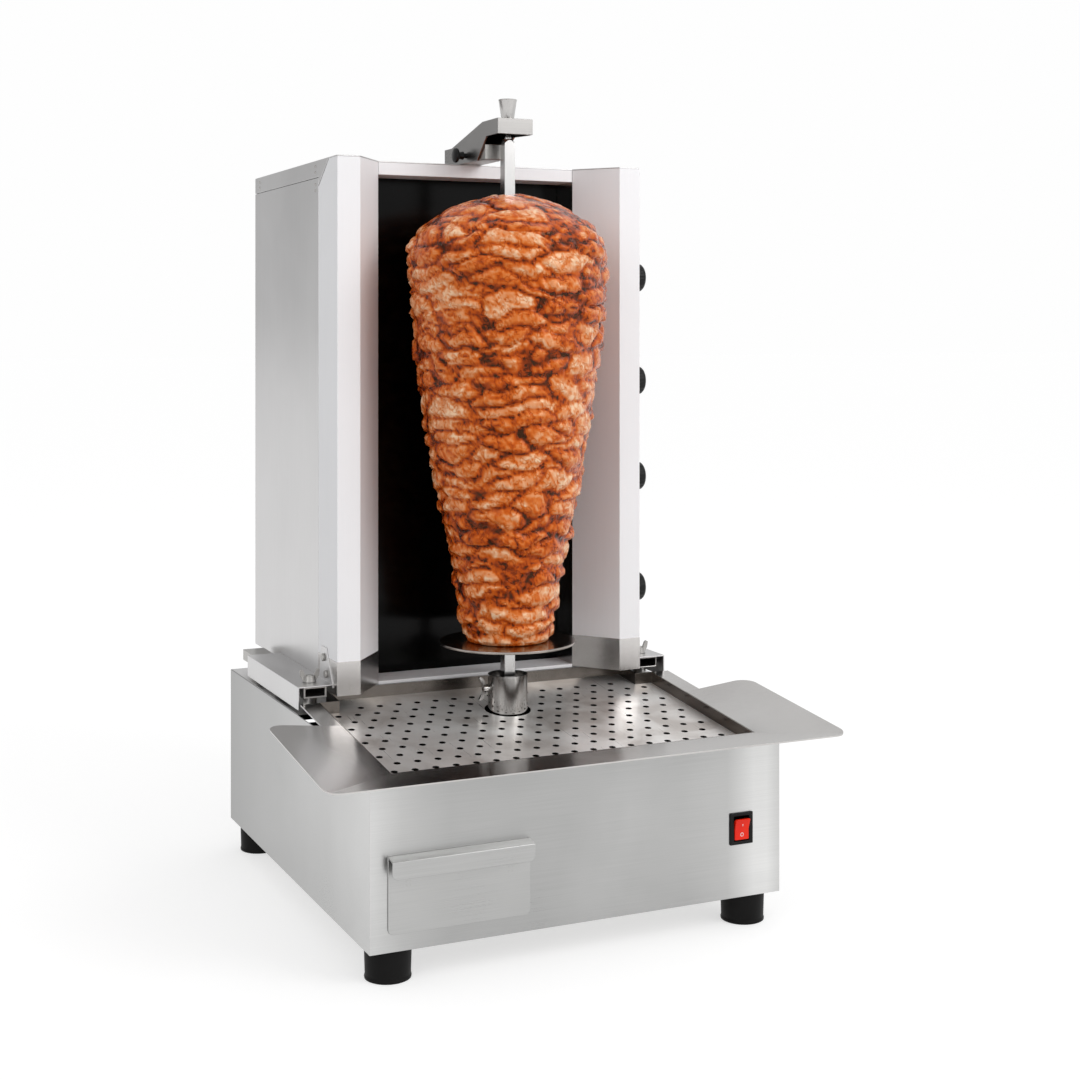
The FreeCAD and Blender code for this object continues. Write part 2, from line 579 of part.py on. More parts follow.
def skewer():
    """Square bar, the plate under the meat and the stack of meat on it."""
    half = "(bar_side / 2)"
    bar = box("bar_block", ("bar_side", "bar_side", "bar_top - bar_bottom"),
              ("-" + half, "skewer_back - " + half, "bar_bottom"))
    point = cone("bar_point_round", "bar_side * 1.6", "pin_radius + 1.6",
                 "bar_side * 1.6", ("0", "skewer_back", "bar_top - bar_side * 1.6 + bar_shoulder"))
    keep = box("bar_point_block", ("bar_side", "bar_side", "bar_shoulder"),
               ("-" + half, "skewer_back - " + half, "bar_top"))
    tip = doc.addObject("Part::Common", "bar_tip")
    tip.Base, tip.Tool = keep, point
    bore = cylinder("bar_bore", PIN_BORE, "pin_depth + 1",
                    ("0", "skewer_back", "bar_top + bar_shoulder - pin_depth"))
    node(cut("bar_body", fuse("bar_whole", [bar, tip]), [bore]), "skewer_bar")
    disc = cylinder("disc_round", "disc_radius", "disc_thickness", ("0", "skewer_back", "disc_height"))
    hole = box("disc_hole", ("bar_side", "bar_side", "disc_thickness"),
               ("-" + half, "skewer_back - " + half, "disc_height"))
    node(cut("disc_body", disc, [hole]), "meat_disc")
    body = new_body("meat_body", ("0", "skewer_back", "0"))
    low, high = "(disc_height + disc_thickness)", "meat_top"
    tall = "(%s - %s)" % (high, low)
    rings = ((0.66, 0.0), (0.70, 0.03), (0.80, 0.13), (0.99, 0.27), (1.155, 0.41), (1.305, 0.55),
             (1.40, 0.685), (1.46, 0.79), (1.50, 0.865), (1.44, 0.893), (1.28, 0.927),
             (0.96, 0.962), (0.54, 0.985), (0.25, 1.0))
    outline = [("bar_side * 0.25", low)]
    for k in range(MEAT_LAYERS):
        for part, fold in ((0.0, " - slice_fold"), (0.42, "")):
            share = rings[-4][1] * (k + part) / MEAT_LAYERS
            below = max(i for i, ring in enumerate(rings) if ring[1] <= share)
            (r, t), (after, top) = rings[below], rings[below + 1]
            wide = r + (after - r) * (share - t) / (top - t)
            outline.append(("disc_radius * %.3f%s" % (wide, fold),
                            "%s + %s * %.4f" % (low, tall, share)))
    outline += [("disc_radius * %.3f" % r, "%s + %s * %.3f" % (low, tall, t)) for r, t in rings[-4:]]
    outline += [("bar_side * 0.25", high)]
    revolve(body, sketch(body, "meat_section", "XZ", [outline]))
    square = rectangle("-" + half, "-" + half, half, half)
    pocket(body, sketch(body, "meat_square", "XY", [square]), "4 * tower_top")
    node(body, "meat_stack")


# ---------------------------------------------------------------------------------------------
# Drawer and mains switch
# ---------------------------------------------------------------------------------------------
def drawer():
    """Grease drawer with a folded front, a turned-down grip and two floor-standing runners."""
    front = "(-base_depth / 2 - seat_gap - sheet)"
    left = "(%s + drawer_border + 1)" % DRAWER
    right = "(%s + drawer_width - drawer_border - 1)" % DRAWER
    low = "(drawer_bottom + drawer_border + 1)"
    high = "(drawer_bottom + drawer_height - drawer_border - 8)"
    wide, tall = "(%s - %s)" % (right, left), "(%s - %s)" % (high, low)
    outer = box("drawer_outer", (wide, "drawer_depth", tall), (left, front + " + sheet", low))
    inner = box("drawer_inner", (wide + " - 2 * sheet", "drawer_depth - 2 * sheet", tall),
                (left + " + sheet", front + " + 2 * sheet", low + " + sheet"))
    node(cut("drawer_body", outer, [inner]), "drawer_box")
    body = new_body("drawer_front_body", ("0", front, "0"))
    r = DRAWER + " + drawer_width"
    top = "drawer_bottom + drawer_height"
    face = [(DRAWER, "drawer_bottom + 5"), (DRAWER + " + 1.5", "drawer_bottom + 1.5"),
            (DRAWER + " + 5", "drawer_bottom"), (r + " - 5", "drawer_bottom"),
            (r + " - 1.5", "drawer_bottom + 1.5"), (r, "drawer_bottom + 5"), (r, top),
            (DRAWER, top)]
    pad(body, sketch(body, "drawer_face", "XZ", [face]), "sheet", back=True)
    node(body, "drawer_front")
    grip = new_body("grip_body", (DRAWER, front, top))
    reach, drop, lip = "handle_reach", "handle_drop", "handle_lip"
    fold = [("0", "0"), ("0", "-sheet * 1.2"), ("-%s + sheet" % reach, "-%s - sheet * 0.7" % drop),
            ("-%s + sheet" % reach, "-%s - %s" % (drop, lip)), ("-" + reach, "-%s - %s" % (drop, lip)),
            ("-" + reach, "-" + drop)]
    pad(grip, sketch(grip, "grip_section", "YZ", [fold]), "drawer_width")
    node(grip, "drawer_grip")
    for side, (x, inward) in {"left": (left, "0"), "right": (right, "1")}.items():
        web_x = "(%s - sheet - seat_gap)" % x if side == "left" else "(%s + seat_gap)" % x
        ledge_x = web_x if side == "left" else "(%s + seat_gap + sheet - runner_ledge)" % x
        start = "(-base_depth / 2 + foot_inset + 9)"
        run = "(drawer_depth - foot_inset)"
        web = box("runner_web_" + side, ("sheet", run, low + " + 14 - " + FLOOR_TOP),
                  (web_x, start, FLOOR_TOP))
        ledge = box("runner_ledge_" + side, ("runner_ledge", run, "sheet"),
                    (ledge_x, start, low + " - seat_gap - sheet"))
        node(fuse("runner_body_" + side, [web, ledge]), "drawer_runner_" + side)


def mains_switch():
    """Snap-in switch housing and the rocker that tips in it."""
    front = "(-base_depth / 2 - bezel_thickness)"
    bezel = box("bezel_block", ("bezel_width", "bezel_thickness", "bezel_height"),
                ("switch_x - bezel_width / 2", front, "switch_z - bezel_height / 2"))
    shell = box("switch_block", ("switch_body_width", "switch_body_depth", "switch_body_height"),
                ("switch_x - switch_body_width / 2", "-base_depth / 2",
                 "switch_z - switch_body_height / 2"))
    well = box("switch_well", ("rocker_width + 2 * 0.4", "bezel_thickness + 12", "rocker_height + 3"),
               ("switch_x - rocker_width / 2 - 0.4", front, "switch_z - rocker_height / 2 - 1.5"))
    node(cut("switch_body", fuse("switch_whole", [bezel, shell]), [well]), "switch_housing")
    half = number("rocker_height") / 2
    outline = [(4.0, -3.0), (4.0, 3.0), (-2.0, half - 0.6), (-5.4, half - 0.3), (-3.4, 0.0),
               (-5.4, -half + 0.3), (-2.0, -half + 0.6)]
    points = [Vector(0, u, v) for u, v in outline]
    shape = Part.Face(Part.makePolygon(points + points[:1])).extrude(Vector(number("rocker_width"), 0, 0))
    shape.rotate(Vector(0, 0, 0), Vector(1, 0, 0), number("rocker_tilt"))
    rocker = feature("rocker_shape", shape)
    place(rocker, ("switch_x - rocker_width / 2", "-base_depth / 2 + 1", "switch_z"))
    node(rocker, "switch_rocker")


# ---------------------------------------------------------------------------------------------
# Rails, carriages and clamps
# ---------------------------------------------------------------------------------------------
def rails():
    """Two tubular rails on posts, along the sides of the deck."""
    low = "(%s - rail_height)" % RAIL_TOP
    for side, sign in SIDES:
        middle = "%s * rail_middle" % sign
        bar = box("rail_bar_" + side, ("rail_width", "rail_length", "rail_height"),
                  (middle + " - rail_width / 2", "rail_front", low))
        hollow = box("rail_hollow_" + side,
                     ("rail_width - 2 * rail_wall", "rail_length", "rail_height - 2 * rail_wall"),
                     (middle + " - rail_width / 2 + rail_wall", "rail_front", low + " + rail_wall"))
        posts = [cylinder("rail_post_%s_%d" % (side, k), "rail_post_radius", low + " - " + BASE_TOP,
                          (middle, "rail_front + rail_length * %s" % share, BASE_TOP))
                 for k, share in enumerate(("0.08", "0.5", "0.92"))]
        tube = cut("rail_tube_" + side, bar, [hollow])
        node(fuse("rail_body_" + side, [tube] + posts), "rail_" + side)


def carriages():
    """Folded carriages that carry the tower on the rails, each with a gusset at its front."""
    for side, sign in SIDES:
        wide = "(carriage_outer - tower_half_width)"
        low = "(carriage_top - carriage_skirt)"
        left = "-carriage_outer" if side == "left" else "tower_half_width"
        outer_x = left if side == "left" else "carriage_outer - sheet"
        inner_x = "-tower_half_width - sheet" if side == "left" else "tower_half_width"
        top = box("carriage_top_" + side, (wide, "carriage_length", "sheet"),
                  (left, "carriage_front", "carriage_top - sheet"))
        skirt = box("carriage_skirt_" + side, ("sheet", "carriage_length", "carriage_skirt"),
                    (outer_x, "carriage_front", low))
        web = box("carriage_web_" + side, ("sheet", "carriage_length", "sheet * 3"),
                  (inner_x, "carriage_front", "carriage_top - sheet * 3"))
        body = new_body("gusset_body_" + side, (inner_x, "carriage_front", "carriage_top"))
        shape = [("0", "-sheet"), ("gusset_length", "-sheet"), ("gusset_length * 0.8", "gusset_height"),
                 ("gusset_length * 0.45", "gusset_height")]
        pad(body, sketch(body, "gusset_face_" + side, "YZ", [shape]), "sheet")
        hole = cylinder("carriage_hole_" + side, "clamp_radius + run_gap", "2 * sheet",
                        (sign + " * rail_middle", "clamp_back", "carriage_top - 1.5 * sheet"))
        whole = fuse("carriage_whole_" + side, [top, skirt, web, body])
        node(cut("carriage_body_" + side, whole, [hole]), "carriage_" + side)


def clamp_screws():
    """Wing screws that press on the rails and hold the tower where it is."""
    for side, sign in SIDES:
        x, y = sign + " * rail_middle", "clamp_back"
        shank = cylinder("clamp_shank_" + side, "clamp_radius", "sheet + 8", (x, y, "carriage_top - sheet"))
        hub = cone("clamp_hub_" + side, "clamp_radius + 4", "clamp_radius + 2.5", "7",
                   (x, y, "carriage_top + seat_gap"))
        wings = []
        for name, turn in (("a", 1), ("b", -1)):
            outline = [(3.0, 0.0), (8.0, 0.0), (11.0, 6.0), (12.0, 12.0), (9.5, 13.5), (7.5, 12.0),
                       (5.0, 6.0), (3.0, 5.0)]
            points = [Vector(turn * u, 0, v) for u, v in outline]
            face = Part.Face(Part.makePolygon(points + points[:1]))
            wing = feature("clamp_wing_%s_%s" % (side, name), face.extrude(Vector(0, 3, 0)))
            wings.append(place(wing, (x, y + " - 1.5", "carriage_top + seat_gap + 1")))
        node(fuse("clamp_body_" + side, [shank, hub] + wings), "clamp_screw_" + side)


# ---------------------------------------------------------------------------------------------
# Heater tower
# ---------------------------------------------------------------------------------------------
def wing_outline(sign):
    """Plan of a folded wing: side return, front face, slanting face and throat return."""
    corner = "(tower_half_width - wing_face)"
    run = "(wing_inner - %s)" % corner
    deep = "(wing_throat - tower_front)"
    slant = "1.25 * sheet"
    end = "(glass_front + glass_thickness + 4)"
    points = [("tower_half_width", "wing_side_end"), ("tower_half_width", "tower_front"),
              (corner, "tower_front"), ("wing_inner", "wing_throat"), ("wing_inner", end),
              ("wing_inner + sheet", end),
              ("wing_inner + sheet",
               "tower_front + %s * (%s + sheet - %s) / %s" % (deep, run, slant, run)),
              ("%s + %s + %s * sheet / %s" % (corner, slant, run, deep), "tower_front + sheet"),
              ("tower_half_width - sheet", "tower_front + sheet"),
              ("tower_half_width - sheet", "wing_side_end")]
    return [("%s * (%s)" % (sign, x), y) for x, y in points]


KNOB_HEIGHTS = ("knob_z_a", "knob_z_b", "knob_z_c", "knob_z_d")


def wings():
    """Two folded reflector wings at the front of the tower; the right one carries the controls."""
    high = "(tower_top - sheet - wing_bottom)"
    for side, sign in SIDES:
        body = new_body("wing_body_" + side, ("0", "0", "wing_bottom"))
        pad(body, sketch(body, "wing_plan_" + side, "XY", [wing_outline(sign)]), high)
        notch = [("wing_side_end + 1", high + " + 1"),
                 ("wing_side_end + 1", high + " - cover_corner - seam"),
                 ("wing_side_end", high + " - cover_corner - seam"), ("wing_side_end - 40", high),
                 ("wing_side_end - 40", high + " + 1")]
        drawn = sketch(body, "wing_notch_" + side, "YZ", [notch])
        start = "tower_half_width - sheet - 0.5"
        drawn.setExpression(".AttachmentOffset.Base.z", bound("%s * (%s)" % (sign, start)))
        pocket(body, drawn, "3 * sheet", both=False, back=(side == "right"))
        if side == "right":
            holes = [("shaft_radius + run_gap + 0.4", ("knob_y", z + " - wing_bottom"))
                     for z in KNOB_HEIGHTS]
            holes.append(("gland_radius - 1", ("knob_y", "gland_z - wing_bottom")))
            drawn = sketch(body, "wing_holes", "YZ", [], holes)
            drawn.setExpression(".AttachmentOffset.Base.z", bound(start))
            pocket(body, drawn, "3 * sheet", both=False, back=True)
        node(body, "wing_" + side)


def side_panels():
    """Flat side sheets behind the wings."""
    for side, sign in SIDES:
        x = "-tower_half_width" if side == "left" else "tower_half_width - sheet"
        high = "(tower_top - cover_flange - seam - tower_bottom)"
        node(box("side_block_" + side, ("sheet", "tower_back - wing_side_end - seam", high),
                 (x, "wing_side_end + seam", "tower_bottom")), "side_panel_" + side)


def top_cover():
    """Top sheet cut to the wings' outline, with flanges turned down at the sides and back."""
    body = new_body("cover_body", ("0", "0", "tower_top"))
    corner = "(tower_half_width - wing_face)"
    plan = [("-tower_half_width", "tower_back"), ("-tower_half_width", "tower_front"),
            ("-" + corner, "tower_front"), ("-wing_inner", "wing_throat"),
            ("wing_inner", "wing_throat"), (corner, "tower_front"),
            ("tower_half_width", "tower_front"), ("tower_half_width", "tower_back")]
    pad(body, sketch(body, "cover_plan", "XY", [plan]), "sheet", back=True)
    flank = [("tower_back", "0"), ("tower_back", "-cover_flange"), ("wing_side_end", "-cover_flange"),
             ("wing_side_end", "-cover_corner"), ("wing_side_end - 40 + seam", "0")]
    for side, sign in SIDES:
        drawn = sketch(body, "cover_flank_" + side, "YZ", [flank])
        drawn.setExpression(".AttachmentOffset.Base.z",
                            bound("%s * tower_half_width" % sign))
        pad(body, drawn, "sheet", back=(side == "right"))
    half = "(tower_half_width - sheet)"
    drawn = sketch(body, "cover_back", "XZ", [rectangle("-" + half, "-cover_flange", half, "0")])
    drawn.setExpression(".AttachmentOffset.Base.z", bound("-tower_back"))
    pad(body, drawn, "sheet")
    return node(body, "top_cover")


def back_panel():
    """Back sheet of the tower with rows of cooling slots."""
    body = new_body("tower_back_body", ("0", "tower_back - sheet", "0"))
    half = "(tower_half_width - sheet)"
    outline = rectangle("-" + half, "tower_bottom", half, "tower_top - cover_flange - seam")
    pad(body, sketch(body, "tower_back_plan", "XZ", [outline]), "sheet", back=True)
    slots = []
    for k in range(7):
        for base in ("tower_top - 150", "tower_bottom + 60"):
            low = "%s + %d" % (base, 14 * k)
            slots.append(rectangle("-tower_half_width / 2", low, "tower_half_width / 2", low + " + 4"))
    pocket(body, sketch(body, "tower_back_slots", "XZ", slots), NO_LIMIT)
    return node(body, "tower_back_panel")


def tower_inside():
    """Floor, glass with its trims, reflector, board and the four hairpin heaters."""
    half = "(tower_half_width - sheet)"
    start = "(glass_front + glass_thickness + 4)"
    node(box("tower_floor_block", ("2 * " + half, "tower_back - sheet - %s" % start, "sheet"),
             ("-" + half, start, "tower_bottom")), "tower_floor")
    inner = "(wing_inner - glass_gap)"
    glass_low, glass_high = "trim_bottom_height", "(tower_top - trim_top_drop)"
    node(box("glass_block", ("2 * " + inner, "glass_thickness", "%s - %s" % (glass_high, glass_low)),
             ("-" + inner, "glass_front", glass_low)), "glass_panel")
    face_y, face_high = "wing_throat", "(trim_top_drop - sheet)"
    top = [box("trim_top_face", ("2 * " + inner, "sheet", face_high), ("-" + inner, face_y, glass_high)),
           box("trim_top_shelf", ("2 * " + inner, "glass_front + glass_thickness - wing_throat", "sheet"),
               ("-" + inner, face_y, glass_high))]
    node(fuse("trim_top_body", top), "trim_top")
    bottom_low = "(trim_bottom_height - 4)"
    bottom = [box("trim_bottom_face", ("2 * " + inner, "sheet", "4"), ("-" + inner, face_y, bottom_low)),
              box("trim_bottom_shelf",
                  ("2 * " + inner, "glass_front + glass_thickness - wing_throat", "sheet"),
                  ("-" + inner, face_y, "trim_bottom_height - sheet"))]
    node(fuse("trim_bottom_body", bottom), "trim_bottom")
    wide, low = "(holder_x + holder_width + 5)", "(tower_bottom + sheet)"
    tall = "(tower_top - sheet - %s - 12)" % low
    node(box("reflector_block", ("2 * " + wide, "sheet", tall), ("-" + wide, "reflector_y", low)),
         "reflector")
    node(box("board_block", ("2 * " + wide, "board_thickness", tall),
             ("-" + wide, "reflector_y + sheet", low)), "insulation_board")
    legs = [(k, "heater_first + heater_spacing * %d + %s * heater_bend" % (k, sign))
            for k in range(4) for sign in ("-1", "1")]
    for side, sign in SIDES:
        x = "-holder_x - holder_width" if side == "left" else "holder_x"
        block = box("holder_block_" + side, ("holder_width", "reflector_y - heater_y + 12",
                                             "heater_spacing * 3 + 100"),
                    (x, "heater_y - 12", "heater_first - 50"))
        bores = [cylinder("holder_bore_%s_%d" % (side, n), "heater_radius + run_gap", "holder_width",
                          (x, "heater_y", z), "x") for n, (_, z) in enumerate(legs)]
        node(cut("holder_body_" + side, block, bores), "heater_holder_" + side)
    group("heater_group", [feature("heater_shape_%d" % k, heater_tube(k)) for k in range(4)],
          "heating_elements")


def heater_tube(k):
    """One hairpin element: two level legs joined by a half turn at the left."""
    reach, bend, radius = number("heater_reach"), number("heater_bend"), number("heater_radius")
    y, z = number("heater_y"), number("heater_first + heater_spacing * %d" % k)
    right = Vector(reach + 14, y, z + bend)
    upper = Vector(-reach, y, z + bend)
    turn = Vector(-reach - bend, y, z)
    lower = Vector(-reach, y, z - bend)
    wire = Part.Wire([Part.LineSegment(right, upper).toShape(), Part.Arc(upper, turn, lower).toShape(),
                      Part.LineSegment(lower, Vector(right.x, y, z - bend)).toShape()])
    ring = Part.Wire([Part.Circle(right, Vector(-1, 0, 0), radius).toShape()])
    return wire.makePipeShell([ring], True, False)


# ---------------------------------------------------------------------------------------------
# Controls and glands
# ---------------------------------------------------------------------------------------------
def controls():
    """Four heat regulators inside the right wing, their knobs outside it."""
    wall = "(tower_half_width - sheet)"
    bodies = []
    for k, z in enumerate(KNOB_HEIGHTS, start=1):
        side = "regulator_side"
        block = box("regulator_block_%d" % k, ("regulator_depth", side, side),
                    (wall + " - regulator_depth", "knob_y - regulator_side / 2",
                     z + " - regulator_side / 2"))
        bore = cylinder("regulator_bore_%d" % k, "shaft_radius + run_gap", "8",
                        (wall + " - 8", "knob_y", z), "x")
        bodies.append(cut("regulator_%d_body" % k, block, [bore]))
        shaft = cylinder("knob_shaft_%d" % k, "shaft_radius", "7.5 + sheet + knob_gap + 6",
                         (wall + " - 7.5", "knob_y", z), "x")
        skirt = cone("knob_skirt_%d" % k, "knob_radius", "knob_radius - 1.5", "knob_height * 0.45",
                     ("tower_half_width + knob_gap", "knob_y", z), "x")
        cap = cone("knob_cap_%d" % k, "knob_radius - 3.5", "knob_radius - 6", "knob_height * 0.55",
                   ("tower_half_width + knob_gap + knob_height * 0.45", "knob_y", z), "x")
        grip = box("knob_grip_%d" % k, ("knob_height * 0.55", "5", "2 * knob_radius - 5"),
                   ("tower_half_width + knob_gap + knob_height * 0.45", "knob_y - 2.5",
                    z + " - knob_radius + 2.5"))
        node(fuse("knob_body_%d" % k, [shaft, skirt, cap, grip]), "control_knob_%d" % k)
    group("regulator_group", bodies, "heat_regulators")


def glands():
    """Cable gland on its plate below the knobs, and the mains gland at the back of the base."""
    plate = box("gland_plate_block", ("1.5", "gland_plate_width", "gland_plate_height"),
                ("tower_half_width", "knob_y - gland_plate_width / 2", "gland_z - gland_plate_height / 2"))
    hole = cylinder("gland_plate_hole", "gland_radius - 1", "1.5",
                    ("tower_half_width", "knob_y", "gland_z"), "x")
    node(cut("gland_plate_body", plate, [hole]), "gland_plate")
    nut = cylinder("gland_nut", "gland_radius + 1", "4",
                   ("tower_half_width + 1.5", "knob_y", "gland_z"), "x")
    dome = cone("gland_dome", "gland_radius", "gland_radius - 2", "5",
                ("tower_half_width + 5.5", "knob_y", "gland_z"), "x")
    neck = cylinder("gland_neck", "gland_radius - 1", "6 + sheet",
                    ("tower_half_width - sheet - 4.5", "knob_y", "gland_z"), "x")
    bore = cylinder("gland_bore", "2.2", "30", ("tower_half_width - 15", "knob_y", "gland_z"), "x")
    node(cut("gland_body", fuse("gland_whole", [nut, dome, neck]), [bore]), "cable_gland")
    back = "base_depth / 2"
    nut = cylinder("mains_nut", "mains_gland_radius", "8", ("mains_gland_x", back, "mains_gland_z"), "y")
    dome = cone("mains_dome", "mains_gland_radius - 1", "mains_gland_radius - 4", "9",
                ("mains_gland_x", back + " + 8", "mains_gland_z"), "y")
    neck = cylinder("mains_neck", "mains_bore + 2", "sheet + 6",
                    ("mains_gland_x", back + " - sheet - 6", "mains_gland_z"), "y")
    bore = cylinder("mains_hole", "mains_bore", "60",
                    ("mains_gland_x", back + " - 25", "mains_gland_z"), "y")
    node(cut("mains_body", fuse("mains_whole", [nut, dome, neck]), [bore]), "mains_gland")


# ---------------------------------------------------------------------------------------------
# Top arm
# ---------------------------------------------------------------------------------------------
def top_arm():
    """Inverted channel that reaches over the skewer, its guide bar, lift-out pin and thumb screw."""
    left, right, wide = "-arm_half_width", "arm_right", "arm_half_width"
    plan = [(left, "arm_front"), (wide, "arm_front"), (wide, "arm_front + 10"),
            (right, "guide_front + 22"), (right, "arm_tail"), (left, "arm_tail")]
    inner = [(left + " + arm_sheet", "arm_front + arm_sheet"),
             (wide + " - arm_sheet", "arm_front + arm_sheet"),
             (wide + " - arm_sheet", "arm_front + 10"), (right + " - arm_sheet", "guide_front + 22"),
             (right + " - arm_sheet", "arm_tail + 1"), (left + " + arm_sheet", "arm_tail + 1")]
    low_tail = "(tower_top + guide_gap)"
    body = new_body("arm_body")
    pad(body, sketch(body, "arm_plan", "XY", [plan]), "arm_top")
    below = [("arm_front - 1", "-1"), ("arm_tail + 1", "-1"), ("arm_tail + 1", low_tail),
             ("guide_front + 20", low_tail), ("arm_front + 34", "arm_top - arm_height"),
             ("arm_front - 1", "arm_top - arm_height")]
    above = [("arm_front + 46", "arm_top + 1"), ("arm_front + 46", "arm_top"),
             ("wing_throat + 30", "arm_tail_top"), ("arm_tail + 1", "arm_tail_top"),
             ("arm_tail + 1", "arm_top + 1")]
    pocket(body, sketch(body, "arm_side_cut", "YZ", [below, above]), NO_LIMIT)
    hollow = new_body("arm_hollow_body")
    pad(hollow, sketch(hollow, "arm_hollow_plan", "XY", [inner]), "arm_top - arm_sheet")
    roof = [("arm_front + 46", "arm_top + 1"), ("arm_front + 46", "arm_top - arm_sheet"),
            ("wing_throat + 30", "arm_tail_top - arm_sheet"), ("arm_tail + 2", "arm_tail_top - arm_sheet"),
            ("arm_tail + 2", "arm_top + 1")]
    pocket(hollow, sketch(hollow, "arm_hollow_roof", "YZ", [roof]), NO_LIMIT)
    bore = cylinder("arm_pin_hole", PIN_BORE, "3 * arm_sheet",
                    ("0", "skewer_back", "arm_top - 2 * arm_sheet"))
    z = "(tower_top + guide_height / 2)"
    screw_hole = cylinder("arm_screw_hole", "3.1", "3 * arm_sheet",
                          ("-arm_half_width - arm_sheet", "arm_knob_y", z), "x")
    node(cut("arm_shape", body, [hollow, bore, screw_hole]), "top_arm")
    bar_left = "(-arm_half_width + arm_sheet + guide_gap)"
    bar_wide = "(arm_right - arm_sheet - guide_gap - %s)" % bar_left
    node(box("guide_block", (bar_wide, "guide_back - guide_front", "guide_height"),
             (bar_left, "guide_front", "tower_top")), "arm_guide")
    tip = "(bar_top + bar_shoulder - pin_depth + seat_gap)"
    stem = cylinder("pin_stem", "pin_radius", "arm_top - %s + 2" % tip, ("0", "skewer_back", tip))
    handle = cone("pin_handle_cone", "pin_low_radius", "pin_top_radius", "pin_handle",
                  ("0", "skewer_back", "arm_top + seat_gap"))
    node(fuse("pin_body", [stem, handle]), "top_pin")
    shank = cylinder("arm_knob_shank", "3", "arm_sheet + arm_knob_reach - 3",
                     ("-arm_half_width - arm_knob_reach + 3", "arm_knob_y", z), "x")
    collar = cylinder("arm_knob_neck", "5", "arm_knob_reach - 8",
                      ("-arm_half_width - arm_knob_reach + 7", "arm_knob_y", z), "x")
    disc = cylinder("arm_knob_disc", "arm_knob_radius", "7",
                    ("-arm_half_width - arm_knob_reach", "arm_knob_y", z), "x")
    node(fuse("arm_knob_body", [shank, collar, disc]), "arm_thumb_screw")


# ---------------------------------------------------------------------------------------------
# Fasteners
# ---------------------------------------------------------------------------------------------
def fasteners():
    """Domed bolt heads on the gussets, and the screws through the foot studs."""
    heads = []
    for side, sign in SIDES:
        for k, (along, up) in enumerate((("gusset_length * 0.42", "8"), ("gusset_length * 0.6", "26"))):
            x = "-tower_half_width - sheet - 3" if side == "left" else "tower_half_width + sheet"
            heads.append(cylinder("gusset_head_%s_%d" % (side, k), "4.5", "3",
                                  (x, "carriage_front + " + along, "carriage_top + " + up), "x"))
    group("gusset_bolt_group", heads, "gusset_bolts")
    nuts = []
    for where, x, y in foot_places():
        hexagon = cylinder("foot_nut_block_" + where, "7", "5", (x, y, FLOOR_TOP))
        hole = cylinder("foot_nut_hole_" + where, "foot_stud_radius", "5", (x, y, FLOOR_TOP))
        nuts.append(cut("foot_nut_" + where, hexagon, [hole]))
    group("foot_nut_group", nuts, "foot_nuts")


# ---------------------------------------------------------------------------------------------
# Build, check and write
# ---------------------------------------------------------------------------------------------
def check(objects):
    """Stop at a failed object, or at a piece whose shape is missing or not valid."""
    for obj in doc.Objects:
        if "Invalid" in obj.State or "Error" in obj.State:
            raise RuntimeError("%s (%s) failed" % (obj.Name, obj.Label))
    for obj in objects:
        if obj.Shape.isNull() or not obj.Shape.isValid() or not obj.Shape.Solids:
            raise RuntimeError("%s has no valid solid" % obj.Label)


for make in (base_casing, base_floor, base_back, base_deck, feet, drip_pan, perforated_plate,
             geared_motor, drive_spindle, collar_screw, skewer, drawer, mains_switch, rails,
             carriages, clamp_screws, wings, side_panels, top_cover, back_panel, tower_inside,
             controls, glands, top_arm, fasteners):
    make()
doc.recompute()
check(NODES)
os.makedirs("parts", exist_ok=True)
for piece in NODES:
    piece.Shape.exportStep("parts/%s.step" % piece.Label)
print("%d nodes written" % len(NODES))
for piece in NODES:
    b = piece.Shape.BoundBox
    print("%-22s %2d solids  x %7.1f %7.1f  y %7.1f %7.1f  z %7.1f %7.1f" % (
        piece.Label, len(piece.Shape.Solids), b.XMin, b.XMax, b.YMin, b.YMax, b.ZMin, b.ZMax))
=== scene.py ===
# %% [markdown]
# # A vertical broiler, dressed for the camera
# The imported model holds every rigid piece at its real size. This script loads it as a fixed frame
# and gives each piece its finish. Thin sheet metal is copied and gets rounded edges, because a cut
# or folded edge always catches a line of light. The meat, the knobs, the feet and the screws are
# modelled anew.

# %% The frame
import json
import math

import bpy
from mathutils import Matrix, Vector, noise


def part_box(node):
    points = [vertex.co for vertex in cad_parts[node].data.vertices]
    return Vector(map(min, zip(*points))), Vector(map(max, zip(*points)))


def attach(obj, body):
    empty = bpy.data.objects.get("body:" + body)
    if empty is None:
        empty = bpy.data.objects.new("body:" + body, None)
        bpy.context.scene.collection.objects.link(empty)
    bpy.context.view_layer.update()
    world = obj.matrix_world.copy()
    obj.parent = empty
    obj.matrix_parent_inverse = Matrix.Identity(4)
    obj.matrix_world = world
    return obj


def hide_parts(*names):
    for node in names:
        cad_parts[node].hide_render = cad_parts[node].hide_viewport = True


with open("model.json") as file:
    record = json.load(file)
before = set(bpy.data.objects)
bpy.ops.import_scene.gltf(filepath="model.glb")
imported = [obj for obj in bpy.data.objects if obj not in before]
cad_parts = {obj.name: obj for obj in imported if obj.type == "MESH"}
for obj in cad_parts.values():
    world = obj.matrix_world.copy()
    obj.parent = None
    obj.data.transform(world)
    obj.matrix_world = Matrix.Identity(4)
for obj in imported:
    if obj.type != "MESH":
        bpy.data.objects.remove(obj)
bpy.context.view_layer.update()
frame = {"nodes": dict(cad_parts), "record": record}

RECORD = frame["record"]
BODY_OF = {node: body for body, nodes in RECORD["behaviour"]["bodies"].items() for node in nodes}
SLOT_OF = {part["node"]: part["material_slot"] for part in RECORD["subparts"]}
MM = 0.001

